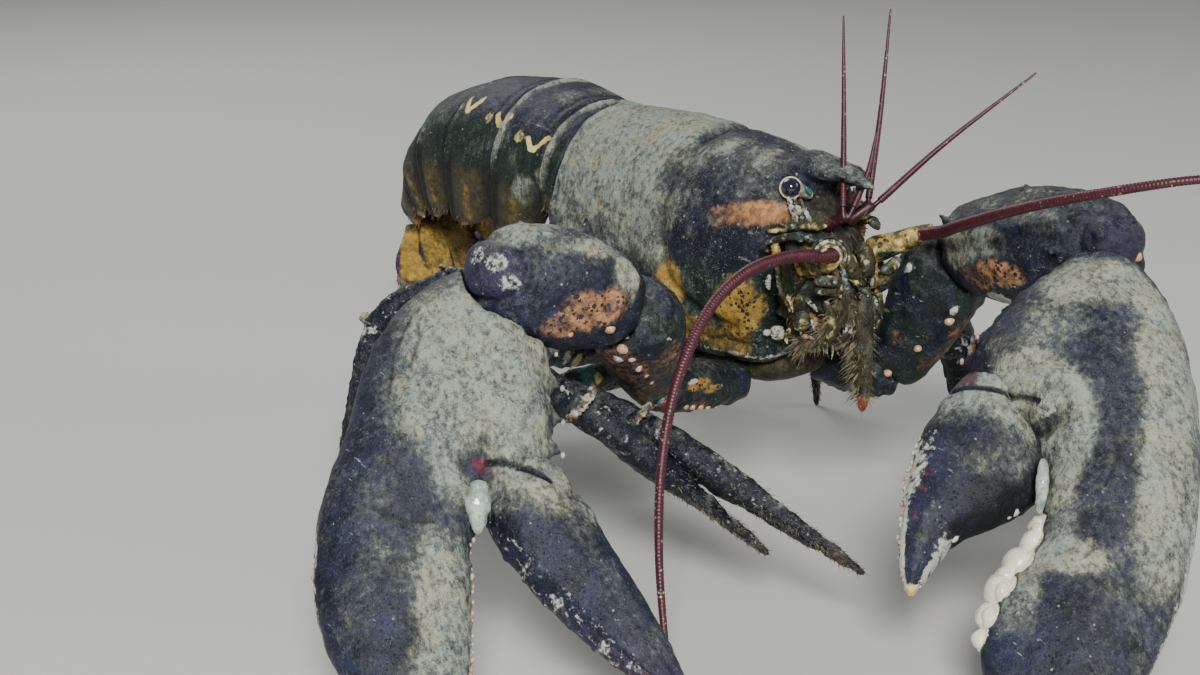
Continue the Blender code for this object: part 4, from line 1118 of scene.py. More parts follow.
# Thin dark scratches across the broad face
CLAW_SCRATCHES = {
    "right": (
        ((24, 36), (42, 41), (62, 40)), ((28, 33), (36, 31), (46, 33)), ((112, 40), (116, 26), (114, 14)),
    ),
    "left": (
        ((96, -36), (108, -31), (112, -38)), ((92, -22), (104, -26), (118, -22)),
        ((150, -30), (164, -40), (172, -52)), ((132, -16), (142, -22), (150, -18)),
    ),
}
# Spines of the palm's inner edge: along, across, height
PALM_SPINES = {
    "right": ((22, -23, 5), (38, -27, 5.5), (54, -29, 5.5), (69, -31, 5)),
    "left": ((24, -26, 5), (38, -35, 5.5), (52, -40.5, 5)),
}
# Slit across the root of each moving finger, sculpted as a groove and darkened with painted shade
FINGER_SLIT = {
    "right": ((87.5, -4), (86, -9), (85.5, -16), (87, -22), (88.5, -28), (89, -31)),
    "left": ((82, 9), (79, 17), (78, 22), (78, 26), (77, 32), (76.5, 38), (77, 46)),
}
# Root of the moving finger on the palm, and the soft skin beside it
HINGES = {"right": (88, -1), "left": (85, 5)}
FINGER_SKIN = {
    "right": (((91, -1, 13.5), (102, -2.5, 13.5), (114, -4, 8)), (3.4, 5.8, 2.4)),
    "left": (((106, 4, 16.5), (117, 3, 15.5), (128, 2.5, 9)), (1.8, 3.2, 1.6)),
}
# Rounded crushing teeth: along, across, radius
MOLARS = {
    "fixed": (
        (131, 1.0, 5.4), (139.5, 2.8, 6.2), (150, 7.0, 8.0), (163, 13.2, 7.8), (175, 17.0, 5.8),
        (185, 18.4, 4.0),
    ),
    "moving": ((123.5, 14.5, 3.8), (130, 27.5, 4.0), (141, 37.5, 3.0)),
}


def claw_stains(p, n, side, moving):
    """Places on the claw, how far a point looks out of its face and its outer edge, and the markings."""
    u, v, w = claw_places(p, side)
    _, _, across, facing, length = claw_axes(side)
    face = n @ facing
    rim = n @ across * CLAWS[side]["out"]
    silt = 0.27 + 0.20 * swell(p, 20, 41) + 0.10 * smooth(face, 0.2, 0.9)
    for cu, cv, hu, hv, strength in CLAW_SILT[side]:
        far = np.hypot((u - cu) / hu, (v - cv) / hv)
        silt += strength * 0.66 * (1 - smooth(far, 0.55, 1.2)) * (face > -0.2)
    silt -= 0.25 * smooth(-face, 0.0, 0.6)
    worn = 0.62 * smooth(rim, 0.80, 0.97) * smooth(u, 100, 130) * (1 - moving)
    violet = 0.16 + 0.3 * swell(p, 24, 42)
    tip = smooth(u, length - 14, length - 2) * 0.4 * (1 - moving)
    return u, v, w, face, rim, {"silt": silt, "worn": worn, "violet": violet, "tip": tip}


def flat_distance(u, v, line):
    """Distance on the broad face to a line drawn in places along and across."""
    flat = np.column_stack([u, v, np.zeros(len(u))])
    return line_distance(flat, [(a, b, 0.0) for a, b in line])[0]


def slit_distance(side, u, v, face):
    """Distance to the slit at the finger's root, which only the broad face shows."""
    return flat_distance(u, v, FINGER_SLIT[side]) + 20 * (face < 0)


# Crusher's palm: the knob above the finger, the dusty place beside it and the boss at the finger's root
KNOB = (66, 44)
KNOB_DUST = (66, 24)
BOSS = (84, 5)


def mark_crusher_palm(stains, u, v, w):
    """Enamel round the fixed teeth, and the markings of the knob and the boss."""
    bone = np.zeros(len(u))
    for mu, mv, radius in MOLARS["fixed"]:
        far = np.sqrt((u - mu) ** 2 + (v - mv) ** 2 + 0.4 * w ** 2)
        bone = np.maximum(bone, 1 - smooth(far, radius - 0.5, radius + 2.0))
    knob = ridge(np.hypot(u - KNOB[0], v - KNOB[1]), 11.0)
    dust = ridge(np.hypot(u - KNOB_DUST[0], v - KNOB_DUST[1]), 13.0, 0.5)
    boss = np.hypot(u - BOSS[0], v - BOSS[1])
    stains["bone"] = bone
    stains["silt"] += dust - 0.5 * knob - bone
    at_least(stains, "violet", 0.9 * knob)
    at_least(stains, "plum", 0.55 * knob)
    at_least(stains, "violet", 0.9 * (1 - smooth(boss, 2.0, 5.0)))
    at_least(stains, "worn", ridge(boss - 3.0, 1.6, 0.52))


def build_palm(side):
    node = "claw_palm_" + side
    palm = shell_over(node, sizes().grain, 2, 5, 0.4)
    p = read_points(palm)
    u, v, w, face, rim, stains = claw_stains(p, read_normals(palm), side, 0.0)
    hinge_u, hinge_v = HINGES[side]
    from_hinge = np.hypot(u - hinge_u, v - hinge_v) + 30 * (w < 0)
    height = rough(p, 43, (0.9, 26), (0.6, 11), (0.28, 4), (0.16, 2.2))
    height += 0.9 * np.maximum(swell(p, 5.5, 52) - 0.45, 0)
    height += ridge(from_hinge, 5.0) * (0.7 + 1.1 * swell(p, 3.0, 58)) + groove(from_hinge - 8.0, 1.8, 1.0)
    height += ridge(from_hinge - 14.0, 4.0, 1.4) + groove(from_hinge - 21.0, 3.0, 0.8)
    inner = smooth(-rim, 0.45, 0.9)
    crust = swell(p, 4.2, 47)
    height += inner * 1.3 * np.maximum(crust, -0.2) * (u < 100)
    scratch = np.min([flat_distance(u, v, line) for line in CLAW_SCRATCHES[side]], axis=0) + 9 * (face < 0.3)
    slit = slit_distance(side, u, v, face)
    height += groove(scratch, 0.9, 0.5) + groove(slit, 1.2, 1.1)
    height *= smooth(p[:, 2], 1.0, 8.0)
    push(palm, height)
    bare_hinge = 0.5 if side == "right" else 0.0
    stains["silt"] += ridge(from_hinge - 15.0, 6.5, 0.55) - ridge(from_hinge, 6.0, bare_hinge)
    stains["silt"] -= 0.8 * (1 - smooth(slit, 0.5, 2.0))
    stains["violet"] += ridge(from_hinge, 6.0, 0.25)
    stains["plum"] = bare_hinge * ridge(from_hinge, 4.5, 1.7)
    # Dark scratches, then painted shade in the groove round the finger's root and in the slit
    stains["deep"] = np.maximum(ridge(scratch, 0.8, 0.8), ridge(from_hinge - 8.0, 1.4, 0.5))
    at_least(stains, "deep", 0.95 * (1 - smooth(slit, 0.3, 1.3)))
    at_least(stains, "worn", 0.45 * smooth(height - 0.9, 0.2, 1.2) * inner)
    stains["cream"] = 0.5 * inner * smooth(crust, 0.55, 0.9) * (u < 100)
    stains["bone"] = np.zeros(len(u))
    if side == "left":
        mark_crusher_palm(stains, u, v, w)
    stain(palm, **stains)
    finish_piece(palm, "Claw shell", "shell_slate", node)


# Middle line of each moving finger: along, across and half width
FINGER_ROWS = {
    "right": (
        (76, -14, 14), (88, -18, 19), (104, -30, 20.5), (124, -48, 18.5), (145, -69, 14.5), (160, -85, 9),
        (169, -96, 2.2),
    ),
    "left": (
        (62, 17, 12), (74, 27, 19.5), (90, 30, 24.5), (104, 31.5, 27), (116, 35.5, 25.5),
        (126, 41.5, 19.5), (136, 46.5, 13.5), (148, 49, 10), (162, 50, 5.5), (170, 50, 1.8),
    ),
}


def finger_edges(side, u):
    """Middle line and half width of a moving finger at a place along the claw."""
    rows = np.array(FINGER_ROWS[side], float)
    middle = np.interp(u, rows[:, 0], rows[:, 1])
    half = np.interp(u, rows[:, 0], rows[:, 2])
    return middle, half


def mark_crusher_finger(stains, p, u, v, lean):
    """Worn and red bands on the outer edge, painted shade in the hollow behind the heel and along the inner
    edge, and the pale point.
    """
    outer = smooth(lean, 0.52, 0.78)
    inside = smooth(-lean, 0.55, 0.85) * smooth(u, 138, 150)
    stains["worn"] = 0.98 * np.maximum(outer * smooth(u, 88, 116), inside) * (0.75 + 0.5 * swell(p, 3, 54))
    red = (0.46 + 0.3 * swell(p, 4, 59)) * smooth(lean, 0.28, 0.48) * (1 - smooth(lean, 0.60, 0.80))
    red *= smooth(u, 88, 110)
    stains["tip"] = 0.45 * red
    stains["silt"] += 0.35 * smooth(0.2 - lean, 0.0, 0.7) * (u < 118)
    stains["cream"] = 0.7 * smooth(u, u.max() - 5, u.max() - 1)
    # Painted shade in the hollow behind the heel and along the inner edge
    before_tip = 1 - smooth(u, 134, 146)
    heel = smooth(u + 0.35 * (20 - v), 113, 121) * smooth(38 - v, 0, 10) * before_tip
    stains["deep"] = 0.95 * np.maximum(heel, smooth(-lean, 0.8, 1.0) * smooth(u, 96, 108) * before_tip)
    above = smooth(77 - u, 0, 3)
    stains["silt"] += 0.3 * above * (v < 36) - 0.5 * above * smooth(v, 34, 40)
    stains["plum"] = np.maximum(0.6 * above * smooth(v, 33, 39), 0.75 * red)


def mark_cutter_finger(stains, p, u, lean):
    """Violet toward the point, a dusty ridge and a worn outer edge."""
    reach = u.max()
    stains["violet"] += 0.6 * smooth(u, reach - 40, reach - 10)
    stains["tip"] = 0.20 * smooth(u, reach - 26, reach - 6) + 0.10 * smooth(lean, 0.7, 0.95) * (u > 100)
    stains["worn"] = 0.36 * smooth(lean, 0.8, 0.98) * (0.6 + 0.8 * swell(p, 2.6, 55)) * (u > 98)
    stains["silt"] += ridge(lean + 0.45, 0.2, 0.22) * (u > 100)


def build_finger(side):
    node = "claw_finger_" + side
    finger = shell_over(node, sizes().fine_grain * 1.1, 2, 5, 0.3)
    p = read_points(finger)
    u, v, _, face, _, stains = claw_stains(p, read_normals(finger), side, 1.0)
    middle, half = finger_edges(side, u)
    lean = (v - middle) / np.maximum(half, 2.0)
    base = 1 - smooth(u, u.min() + 18, u.min() + 36)
    ribs = np.cos(lean * 7.0) * smooth(u, u.min() + 26, u.min() + 50)
    slit = slit_distance(side, u, v, face)
    height = rough(p, 48, (0.5, 12), (0.32, 4.5), (0.18, 2.2))
    height += 0.5 * ribs * (face > 0.2) * (1.0 if side == "right" else 0.35) + 1.2 * base * swell(p, 6, 53)
    height += groove(slit, 1.2, 1.1)
    push(finger, height * smooth(p[:, 2], 1.0, 8.0))
    stains["silt"] = 0.26 + 0.70 * base + 0.16 * swell(p, 10, 51) + 0.08 * ribs
    if side == "left":
        mark_crusher_finger(stains, p, u, v, lean)
    else:
        mark_cutter_finger(stains, p, u, lean)
    # Painted shade in the slit at the finger's root
    at_least(stains, "deep", 0.95 * (1 - smooth(slit, 0.3, 1.3)))
    stains["silt"] -= 0.8 * (1 - smooth(slit, 0.5, 2.0))
    stain(finger, **stains)
    finish_piece(finger, "Claw shell", "shell_slate", node)


# Edges of the cutter's palm beyond the finger's root: along and across
RIGHT_INNER = (
    (104, -7), (116, -1.5), (140, -5.5), (165, -8.5), (185, -8.5), (205, -6.5), (216, -3.5), (221, -0.5),
)
RIGHT_OUTER = ((104, 62), (116, 63), (140, 61), (165, 52), (185, 39), (205, 23), (221, 4))


def edge_at(rows, u):
    """Where an edge drawn in rows of along and across lies at a place along the claw."""
    rows = np.array(rows, float)
    return float(np.interp(u, rows[:, 0], rows[:, 1]))


def finger_edge(side, u, share):
    """Place across of a moving finger, by the share of its half width from the middle line."""
    middle, half = finger_edges(side, u)
    return middle + half * share


def bead_row(rng, side, span, count, edge, toward, depths, radii, jitter=0.0):
    """Beads along an edge that is given as a place across for each place along."""
    across = claw_axes(side)[2]
    rows = []
    for u in np.linspace(*span, count):
        if jitter:
            u += rng.uniform(-jitter, jitter)
        centre = claw_point(side, u, edge(u), rng.uniform(*depths))
        rows.append((centre, across * toward, rng.uniform(*radii)))
    return rows


# Lumps that break the roundness of each crushing tooth
TOOTH_LUMPS = 5


def crushing_teeth(rng, side):
    """The crusher's rounded teeth on both edges, each of several lumps."""
    across = claw_axes(side)[2]
    rows = []
    for part, toward in (("fixed", 1), ("moving", -1)):
        for u, v, radius in MOLARS[part]:
            rows.append((claw_point(side, u, v + 0.8 * toward, 1.2), across * toward, radius * 1.04))
            for _ in range(TOOTH_LUMPS):
                shift = rng.uniform(-0.95, 0.95) * radius
                centre = claw_point(side, u + shift, v - 0.6 * toward, rng.uniform(-0.2, 1.0) * radius)
                rows.append((centre, across * toward, radius * rng.uniform(0.45, 0.8)))
    return rows


def build_teeth(side):
    enamel = plain_material("Tooth", shaded(colours().enamel, 0.80), colours().enamel, 260.0, 0.22, 0.35, 0.4)
    bead = plain_material("Rim bead", (0.34, 0.20, 0.15), (0.60, 0.58, 0.48), 160.0, 0.4, 0.3)
    rng = random.Random(7)
    if side == "left":
        rows = crushing_teeth(rng, side)
        beads = bead_row(rng, side, (92, 168), 90, lambda u: finger_edge(side, u, rng.uniform(0.86, 1.0)), 1,
                         (-1.5, 5.5), (0.5, 1.3))
        beads += bead_row(rng, side, (140, 166), 16, lambda u: finger_edge(side, u, -0.9), -1,
                          (0, 3), (0.5, 1.1))
    else:
        beads = bead_row(rng, side, (114, 212), 30, lambda u: edge_at(RIGHT_INNER, u) - 0.2, -1,
                         (-1.5, 2.5), (0.6, 1.7), 1.0)
        rows = bead_row(rng, side, (100, 162), 34, lambda u: finger_edge(side, u, 0.93), 1,
                        (-1.5, 2.5), (0.5, 1.3))
        beads += bead_row(rng, side, (124, 198), 30, lambda u: edge_at(RIGHT_OUTER, u) - 1.4, 1,
                          (-1.5, 1.5), (0.5, 1.1))
        beads += bead_row(rng, side, (104, 162), 16, lambda u: finger_edge(side, u, -0.96), -1,
                          (-1.0, 1.0), (0.4, 0.9))
    _, along, across, facing, _ = claw_axes(side)
    out = CLAWS[side]["out"]
    for u, v, height in PALM_SPINES[side]:
        tip = claw_point(side, u, (v + 3) * out) - across * out * (height + 2.4) + along * 2 - facing * 0.5
        beads.append((tip, -across * out, 1.5))
    teeth = studs("claw_teeth_" + side, rows, 0.85, enamel, 9, 3 if side == "left" else 2)
    push(teeth, rough(read_points(teeth), 14, (0.35, 2.6), (0.2, 1.2)))
    finish_piece(teeth, enamel, "shell_slate")
    finish_piece(studs("claw_beads_" + side, beads, 0.7, bead, 10, 2), bead, "shell_slate")


def build_claws():
    skin = plain_material("Soft skin", (0.16, 0.24, 0.21), (0.52, 0.56, 0.46), 160.0, 0.16, 0.25, 0.6)
    for side in CLAWS:
        build_palm(side)
        build_finger(side)
        build_teeth(side)
        points, halves = FINGER_SKIN[side]
        fold = limb("finger_skin_" + side, [claw_point(side, *q) for q in points], halves, 0.8, {}, 57, 0.25)
        finish_piece(fold, skin, "shell_slate")


# Arms. Markings of the segments: centre, half sizes and strength
ARM_MARKS = {
    "carpus_right": {
        "orange": (
            ((-158, -166, 156), (15, 9, 11), 1.0), ((-146, -169, 158), (10, 8, 9), 0.9),
            ((-168, -161, 150), (12, 8, 7), 0.8),
        ),
        "silt": (
            ((-172, -136, 191), (26, 18, 7), 0.45), ((-136, -168, 168), (7, 9, 12), 1.1),
            ((-142, -158, 181), (12, 12, 6), 0.5), ((-160, -158, 178), (16, 10, 12), 0.2),
        ),
        "violet": (((-190, -140, 175), (13, 18, 13), 1.2),),
        "worn": (
            ((-190, -145, 179), (7, 6, 4.5), 0.52), ((-186, -150, 171), (6, 5, 5), 0.48),
            ((-191, -134, 180), (6, 6, 4), 0.46),
        ),
    },
    "ischium_right": {
        "ochre": (((-66, -138, 97), (9, 8, 3.2), 1.0), ((-58, -137.5, 93), (6, 7, 2.4), 0.9)),
        "orange": (((-67, -138, 97), (6, 8, 2.4), 0.9), ((-66, -136, 85), (11, 8, 3), 0.6)),
        "worn": (((-70, -138, 99), (3.5, 8, 1.4), 0.8),),
    },
    "carpus_left": {
        "orange": (((36, -232, 154), (9, 16, 8), 1.0), ((38, -218, 148), (8, 12, 8), 0.7)),
        "silt": (
            ((38, -205, 158), (12, 16, 12), 0.8), ((36, -224, 166), (9, 14, 9), 0.6),
            ((38, -251, 182), (10, 16, 6), 0.4),
        ),
        "violet": (((52, -280, 176), (16, 14, 14), 1.2),),
        "worn": (((43, -228, 139), (7, 8, 6), 0.9),),
    },
}
# Smooth lobe at the end of each wrist segment: centre and half sizes
LOBES = {"carpus_right": ((-190, -137, 176), (15, 20, 14)), "carpus_left": ((54, -282, 176), (18, 14, 15))}
# Raised keels along the wrist segments
KEELS = {
    "carpus_right": (
        (-190, -138, 186), (-172.8, -140, 190), (-160, -152, 186), (-142.6, -157, 181.4),
        (-139, -168, 167.8), (-145.9, -168, 147.8),
    ),
    "carpus_left": (
        (43.9, -188.7, 160), (39, -210, 166), (38, -232, 173), (38, -252, 181), (45, -272, 187),
    ),
}


def sharp_points(node, least=1.5):
    """Tips of the spines of a solid: places where its faces close into a narrow cone."""
    bm = bmesh.new()
    bm.from_mesh(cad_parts[node].data)
    bmesh.ops.remove_doubles(bm, verts=bm.verts, dist=0.000002)
    found = [v.co[:] for v in bm.verts
             if 2 * math.pi - sum(loop.calc_angle() for loop in v.link_loops) > least]
    bm.free()
    return np.array(found).reshape(-1, 3) / MM - SHIFT


# Segments of an arm and the joints at their ends
ARM_SEGMENTS = (("carpus", "elbow", "end"), ("merus", "knee", "elbow"), ("ischium", "hip", "knee"))


def sculpt_arm_segment(obj, p, share, length, kind, side, spine):
    """Lumps all over, a groove at the far end, and the lobe and keel of the wrist segment."""
    height = rough(p, 61, (0.8, 13), (0.55, 5.5), (0.3, 2.6))
    height += 1.5 * np.maximum(swell(p, 6.5, 66) - 0.4, 0) + groove((share - 0.93) * length, 2.2, 1.0)
    if kind == "carpus":
        centre, half = LOBES[kind + "_" + side]
        lobe = np.linalg.norm((p - centre) / half, axis=1)
        height *= smooth(lobe, 0.6, 1.1)
        height += 1.8 * (1 - smooth(lobe, 0.6, 0.95)) + groove((lobe - 1.08) * 14, 2.0, 2.2)
        keel = line_distance(p, KEELS[kind + "_" + side])[0]
        height += (ridge(keel, 1.9, 1.5) + groove(keel - 6, 3.0, 0.9)) * smooth(lobe, 0.9, 1.3)
    push(obj, height * smooth(spine, 2.0, 5.0) + 0.5 * (1 - smooth(spine, 3.0, 6.0)))


def build_arm_segment(side, kind, start, end):
    node = "cheliped_%s_%s" % (kind, side)
    wrist = kind == "carpus"
    obj = shell_over(node, sizes().fine_grain * 1.1, 2, 4, 0.4)
    p, n = read_surface(obj)
    line = end - start
    length = np.linalg.norm(line)
    share = ((p - start) @ line) / length ** 2
    spine = nearest(p, sharp_points(node))
    sculpt_arm_segment(obj, p, share, length, kind, side, spine)
    marks = {key: blobs(p, rows) for key, rows in ARM_MARKS.get(kind + "_" + side, {}).items()}
    silt, orange, flame, violet, worn = (
        marks.get(key, 0.0) for key in ("silt", "orange", "ochre", "violet", "worn"))
    far = np.linalg.norm(p - (start + np.outer(share, line)), axis=1)
    crest = smooth(far, np.percentile(far, 97.5), np.percentile(far, 99.7)) * (not wrist)
    down = smooth(-n[:, 2], 0.1, 0.8)
    rust = (kind == "merus") * smooth(swell(p, 12, 68) + down, 0.2, 1.0) * 0.5
    dust = 0.26 + 0.26 * smooth(n[:, 2], 0.4, 0.95) + 0.18 * swell(p, 9, 64) - 0.2 * down + silt
    stain(obj,
          silt=dust * (1 - 0.7 * np.clip(orange, 0, 1)),
          orange=orange * 0.62 + rust * 0.72,
          dots=1 + 0 * share,
          violet=np.clip(0.2 + 0.25 * swell(p, 14, 65), 0, 1) * wrist + violet,
          worn=worn + 0.8 * crest + 1.2 * (1 - smooth(spine, 0.8, 2.4)),
          tip=np.maximum(crest * 0.55, 1.3 * (1 - smooth(spine, 2.5, 6.0))),
          ochre=0.35 * crest + 0.9 * flame,
          green=(not wrist) * (0.45 + 0.4 * swell(p, 10, 69)),
          # Painted shade on the faces that turn down
          deep=0.25 * down,
          bare=0 * share)
    finish_piece(obj, "Dark shell", "shell_dark", node)


def build_arms():
    for side, joints in ARMS.items():
        for kind, start, end in ARM_SEGMENTS:
            build_arm_segment(side, kind, np.array(joints[start], float), np.array(joints[end], float))
    build_arm_studs()
    build_arm_joints()


# Tubercles and spines of the arms: the way they point, then their places, each with a radius
ARM_STUDS = {
    "right": (
        ((-0.2, -0.9, -0.1), ((-145.9, -167, 147, 3.2),)),
        ((-0.4, -0.8, 0.0), ((-132, -159.4, 132.7, 3.0), (-126.5, -159, 127.5, 2.6),
                             (-121, -157.5, 121.5, 2.4), (-114.1, -154.6, 116.5, 2.2))),
        ((-0.4, -0.8, 0.1), ((-128, -158, 136.5, 1.8), (-118, -154, 126.0, 1.7))),
        ((-0.3, -0.8, -0.3), ((-163, -161, 146, 1.6),)),
        ((-0.4, -0.8, -0.5), ((-73, -137, 86.5, 1.5), (-68, -136, 85, 1.8), (-62, -135, 83.5, 2.0),
                              (-56, -134, 82, 1.8), (-50, -133, 80.5, 1.5))),
        ((-0.4, -0.8, 0.1), ((-107, -150, 110, 1.6), (-98, -143, 103, 1.4))),
    ),
    "left": (
        ((-0.7, -0.5, 0.0), ((49.4, -192.4, 118.6, 3.2), (43.2, -160.2, 85.0, 2.8))),
        ((-0.8, -0.4, 0.0), ((44, -178, 102, 2.4), (42, -170, 112, 1.8))),
        ((-0.8, -0.4, 0.1), ((46, -186, 128, 1.8),)),
        ((0.2, -0.9, -0.1), ((60.4, -288.6, 168.6, 3.4),)),
    ),
}


def build_arm_studs():
    tone = shaded(colours().orange, 0.9)
    material = plain_material("Tubercle", tone, (0.66, 0.52, 0.34), 260.0, 0.25, 0.3, 0.4)
    for side in ARM_STUDS:
        rows = [(np.array(where, float) - unit(way) * radius * 0.45, way, radius * 0.85)
                for way, places in ARM_STUDS[side] for *where, radius in places]
        obj = studs("arm_tubercles_" + side, rows, 1.35, material, 12, 3)
        push(obj, 0.25 * swell(read_points(obj), 1.3, 13))
        finish_piece(obj, material, "shell_dark")


# Soft joints between the arm's segments: curve and half widths
ARM_JOINTS = {
    "right": ((((-112, -150, 140), (-120, -145, 150), (-122, -138, 158)), (9, 13, 9)),
              (((-84, -134, 92), (-88, -131, 97), (-90, -126, 104)), (6.5, 8.5, 6.5))),
    "left": ((((58, -176, 142), (62, -186, 152), (66, -192, 162)), (9, 13, 9)),
             (((50, -149, 78), (54, -154, 82), (58, -158, 87)), (6, 8, 6))),
}
JOINT_MARKS = {"cream": 0.32, "worn": 0.36, "green": 0.3}


def build_arm_joints():
    for side, joints in ARM_JOINTS.items():
        parts = [limb("joint", points, halves, 0.9, JOINT_MARKS, 160 + k, 0.8)
                 for k, (points, halves) in enumerate(joints)]
        finish_piece(joined("arm_joints_" + side, parts), "Joint skin", "shell_dark")


# Walking legs: blue-green skin at the joints behind the cutter, with a painted highlight in white on its
# gloss and a cream edge
LEG_JOINT_SKIN_AND_HIGHLIGHT = {
    "leg_2_right_upper": {
        "teal": (((-106, -82, 106), (11, 16, 11), 1.1),),
        "bone": (((-100, -80, 104), (3, 12, 6), 0.62),),
        "cream": (((-92, -79, 99), (4, 12, 6), 0.58),),
    },
    "leg_1_right_upper": {
        "teal": (((-103, -101, 101), (7, 12, 8), 1.0),),
        "cream": (((-97, -100, 97), (3, 8, 4), 0.56),),
    },
}
CUFF_MARKS = {"worn": 0.34, "silt": 0.5, "olive": 0.5, "orange": 0.3}


def build_cuffs(leg, joints, pincer):
    """Worn rolls round the ankle and the knee; the two front pairs are wider at the ankle."""
    _, knee, ankle, tip = joints
    cuffs = []
    for k, (joint, toward, radius, shift, wide) in enumerate((
            (ankle, tip, 6.4, -5.0 if pincer else 2.0, 2.9 if pincer else 0.0),
            (knee, ankle, 6.8, -1.0, 0.0))):
        way = unit(toward - joint)
        roll = circle(joint + way * shift, way, radius + wide, 20 + 60 * k, 270, 14)
        halves = (0.7, 1.25 + wide * 0.3, 1.3 + wide * 0.3, 0.7)
        cuffs.append(limb("cuff", roll, halves, 0.8, CUFF_MARKS, 180 + k, 0.9))
    finish_piece(joined(leg + "_cuffs", cuffs), "Leg shell", "shell_leg")


def build_legs():
    for leg, points in LEGS.items():
        joints = [np.array(q, float) for q in points]
        pincer = "leg_1" in leg or "leg_2" in leg
        root, knee, ankle, tip = joints
        build_leg_part(leg + "_upper", root, knee, pincer, False)
        build_leg_part(leg + "_lower", ankle, tip, pincer, True)
        build_cuffs(leg, joints, pincer)


def build_leg_part(node, start, end, pincer, lower):
    """One half of a leg with its ridges, dust and bristles."""
    obj = shell_over(node, sizes().fine_grain, 2, 4, 0.3)
    p, n = read_surface(obj)
    line = end - start
    length = np.linalg.norm(line)
    share = ((p - start) @ line) / length ** 2
    around = np.arctan2(n @ unit(np.cross(line, (0, 0, 1.0))), n[:, 2])
    keels = 0.35 * np.cos(around * 4) * smooth(share, 0.05, 0.2)
    height = rough(p, 71, (0.7, 7), (0.5, 3)) + 0.25 * swell(p, 1.7, 76) + keels
    if lower:
        edge = ridge((share - 0.05) * length, 3.0)
        height += groove((share - 0.40) * length, 1.6, 0.7) * (not pincer)
        height += (1.6 * (1 - smooth(share, 0.3, 0.75)) + 0.4) * pincer
    else:
        edge = ridge((share - 0.97) * length, 2.4)
        height += groove((share - 0.30) * length, 1.6, 0.6)
    push(obj, height * smooth(p[:, 2], 0.4, 3.0))
    brown = smooth(share, 0.55, 0.95) * lower
    # Teal joint skin with a white painted highlight, where the table gives one
    joint_skin_and_highlight = {key: blobs(p, rows) for key, rows in LEG_JOINT_SKIN_AND_HIGHLIGHT.get(node, {}).items()}
    covered = np.max([0 * share, *joint_skin_and_highlight.values()], axis=0)
    stain(obj,
          silt=0.12 + 0.30 * smooth(n[:, 2], 0.35, 0.95) + 0.45 * swell(p, 4, 73) + 0.12 * keels - covered,
          worn=(0.2 if pincer else 0.5) * edge + 0.42 * swell(p, 2.6, 77) + 0.1 * keels,
          orange=0.3 * swell(p, 6, 74) * (not lower),
          violet=0.3 * swell(p, 9, 75),
          **joint_skin_and_highlight,
          olive=0.62 * brown * (0.5 + 0.8 * swell(p, 5, 78)),
          tip=0.5 * brown * smooth(swell(p, 4, 79), 0.1, 0.7),
          bare=0 * share)
    finish_piece(obj, "Leg shell", "shell_leg", node)
    hairy = smooth(share, 0.35, 0.9) if lower else 0.25 * smooth(share, 0.3, 0.6)
    count = (420 if pincer else 220) if lower else 70
    leg = node.rsplit("_", 1)[0]
    roots, normals, rng = pick_roots(obj, hairy * (p[:, 2] > 3) * (share < 1.01), count, 80 + len(leg))
    add_hairs(node + "_bristles", roots, normals + unit(line) * 0.7, rng, (0.8, 2.6),
              unit(line) * 0.2, 81, 0.8)


# Eyes
EYE_BALL = np.array((21.3, -151.3, 188.2))
EYE_OUT = unit((0.66, -0.68, 0.30))
CORNEA_DARK = (0.002, 0.003, 0.010, 1)
CORNEA_BLUE = (0.006, 0.010, 0.030, 1)


def circle(centre, axis, radius, start=0.0, turn=360.0, count=48):
    """Points round an axis, from a start angle on."""
    axis = unit(axis)
    side = unit(np.cross((0, 0, 1.0), axis))
    up = np.cross(axis, side)
    angles = np.radians(start + turn * np.linspace(0, 1, count))
    ring = np.outer(np.cos(angles), side) + np.outer(np.sin(angles), up)
    return np.asarray(centre, float) + radius * ring


def cornea_material():
    """Blue-black facets under a clear coat."""
    mat, tree, shader = new_material("Cornea")
    facets = add_node(tree, "ShaderNodeTexVoronoi", None, {"Vector": object_place(tree), "Scale": 3600.0})
    edge = soft_step(tree, facets.outputs["Distance"], 0.2, 0.6)
    tree.links.new(mix(tree, edge, CORNEA_DARK, CORNEA_BLUE), shader.inputs["Base Color"])
    shader.inputs["Roughness"].default_value = 0.07
    shader.inputs["Coat Weight"].default_value = 1.0
    return mat


def build_eyes():
    size = sizes()
    stalk_material = plain_material("Eye stalk", (0.10, 0.10, 0.075), (0.36, 0.35, 0.27), 300.0, 0.45)
    rim_material = plain_material("Eye rim", (0.50, 0.42, 0.20), (0.70, 0.66, 0.48), 300.0, 0.35)
    cornea = cornea_material()
    for side, sign in SIDES:
        centre, out = (v * (sign, 1, 1) for v in (EYE_BALL, EYE_OUT))
        stalk = shell_over("eye_" + side, size.fine_grain * 0.6, 2, 3, 0.1, "eye_stalk_" + side)
        finish_piece(stalk, stalk_material, "eye", "eye_" + side)
        pick_none()
        bpy.ops.mesh.primitive_uv_sphere_add(segments=40, ring_count=24, radius=size.eye_radius,
                                             location=place(centre + out))
        eye = bpy.context.object
        eye.name = "eye_ball_" + side
        bpy.ops.object.transform_apply(location=True, rotation=True, scale=True)
        finish_piece(eye, cornea, "eye")
        rim = circle(centre, out, size.eye_radius / MM + 0.15)
        finish_piece(tube("eye_rim_" + side, rim, np.full(len(rim), 0.6), 10), rim_material, "eye")


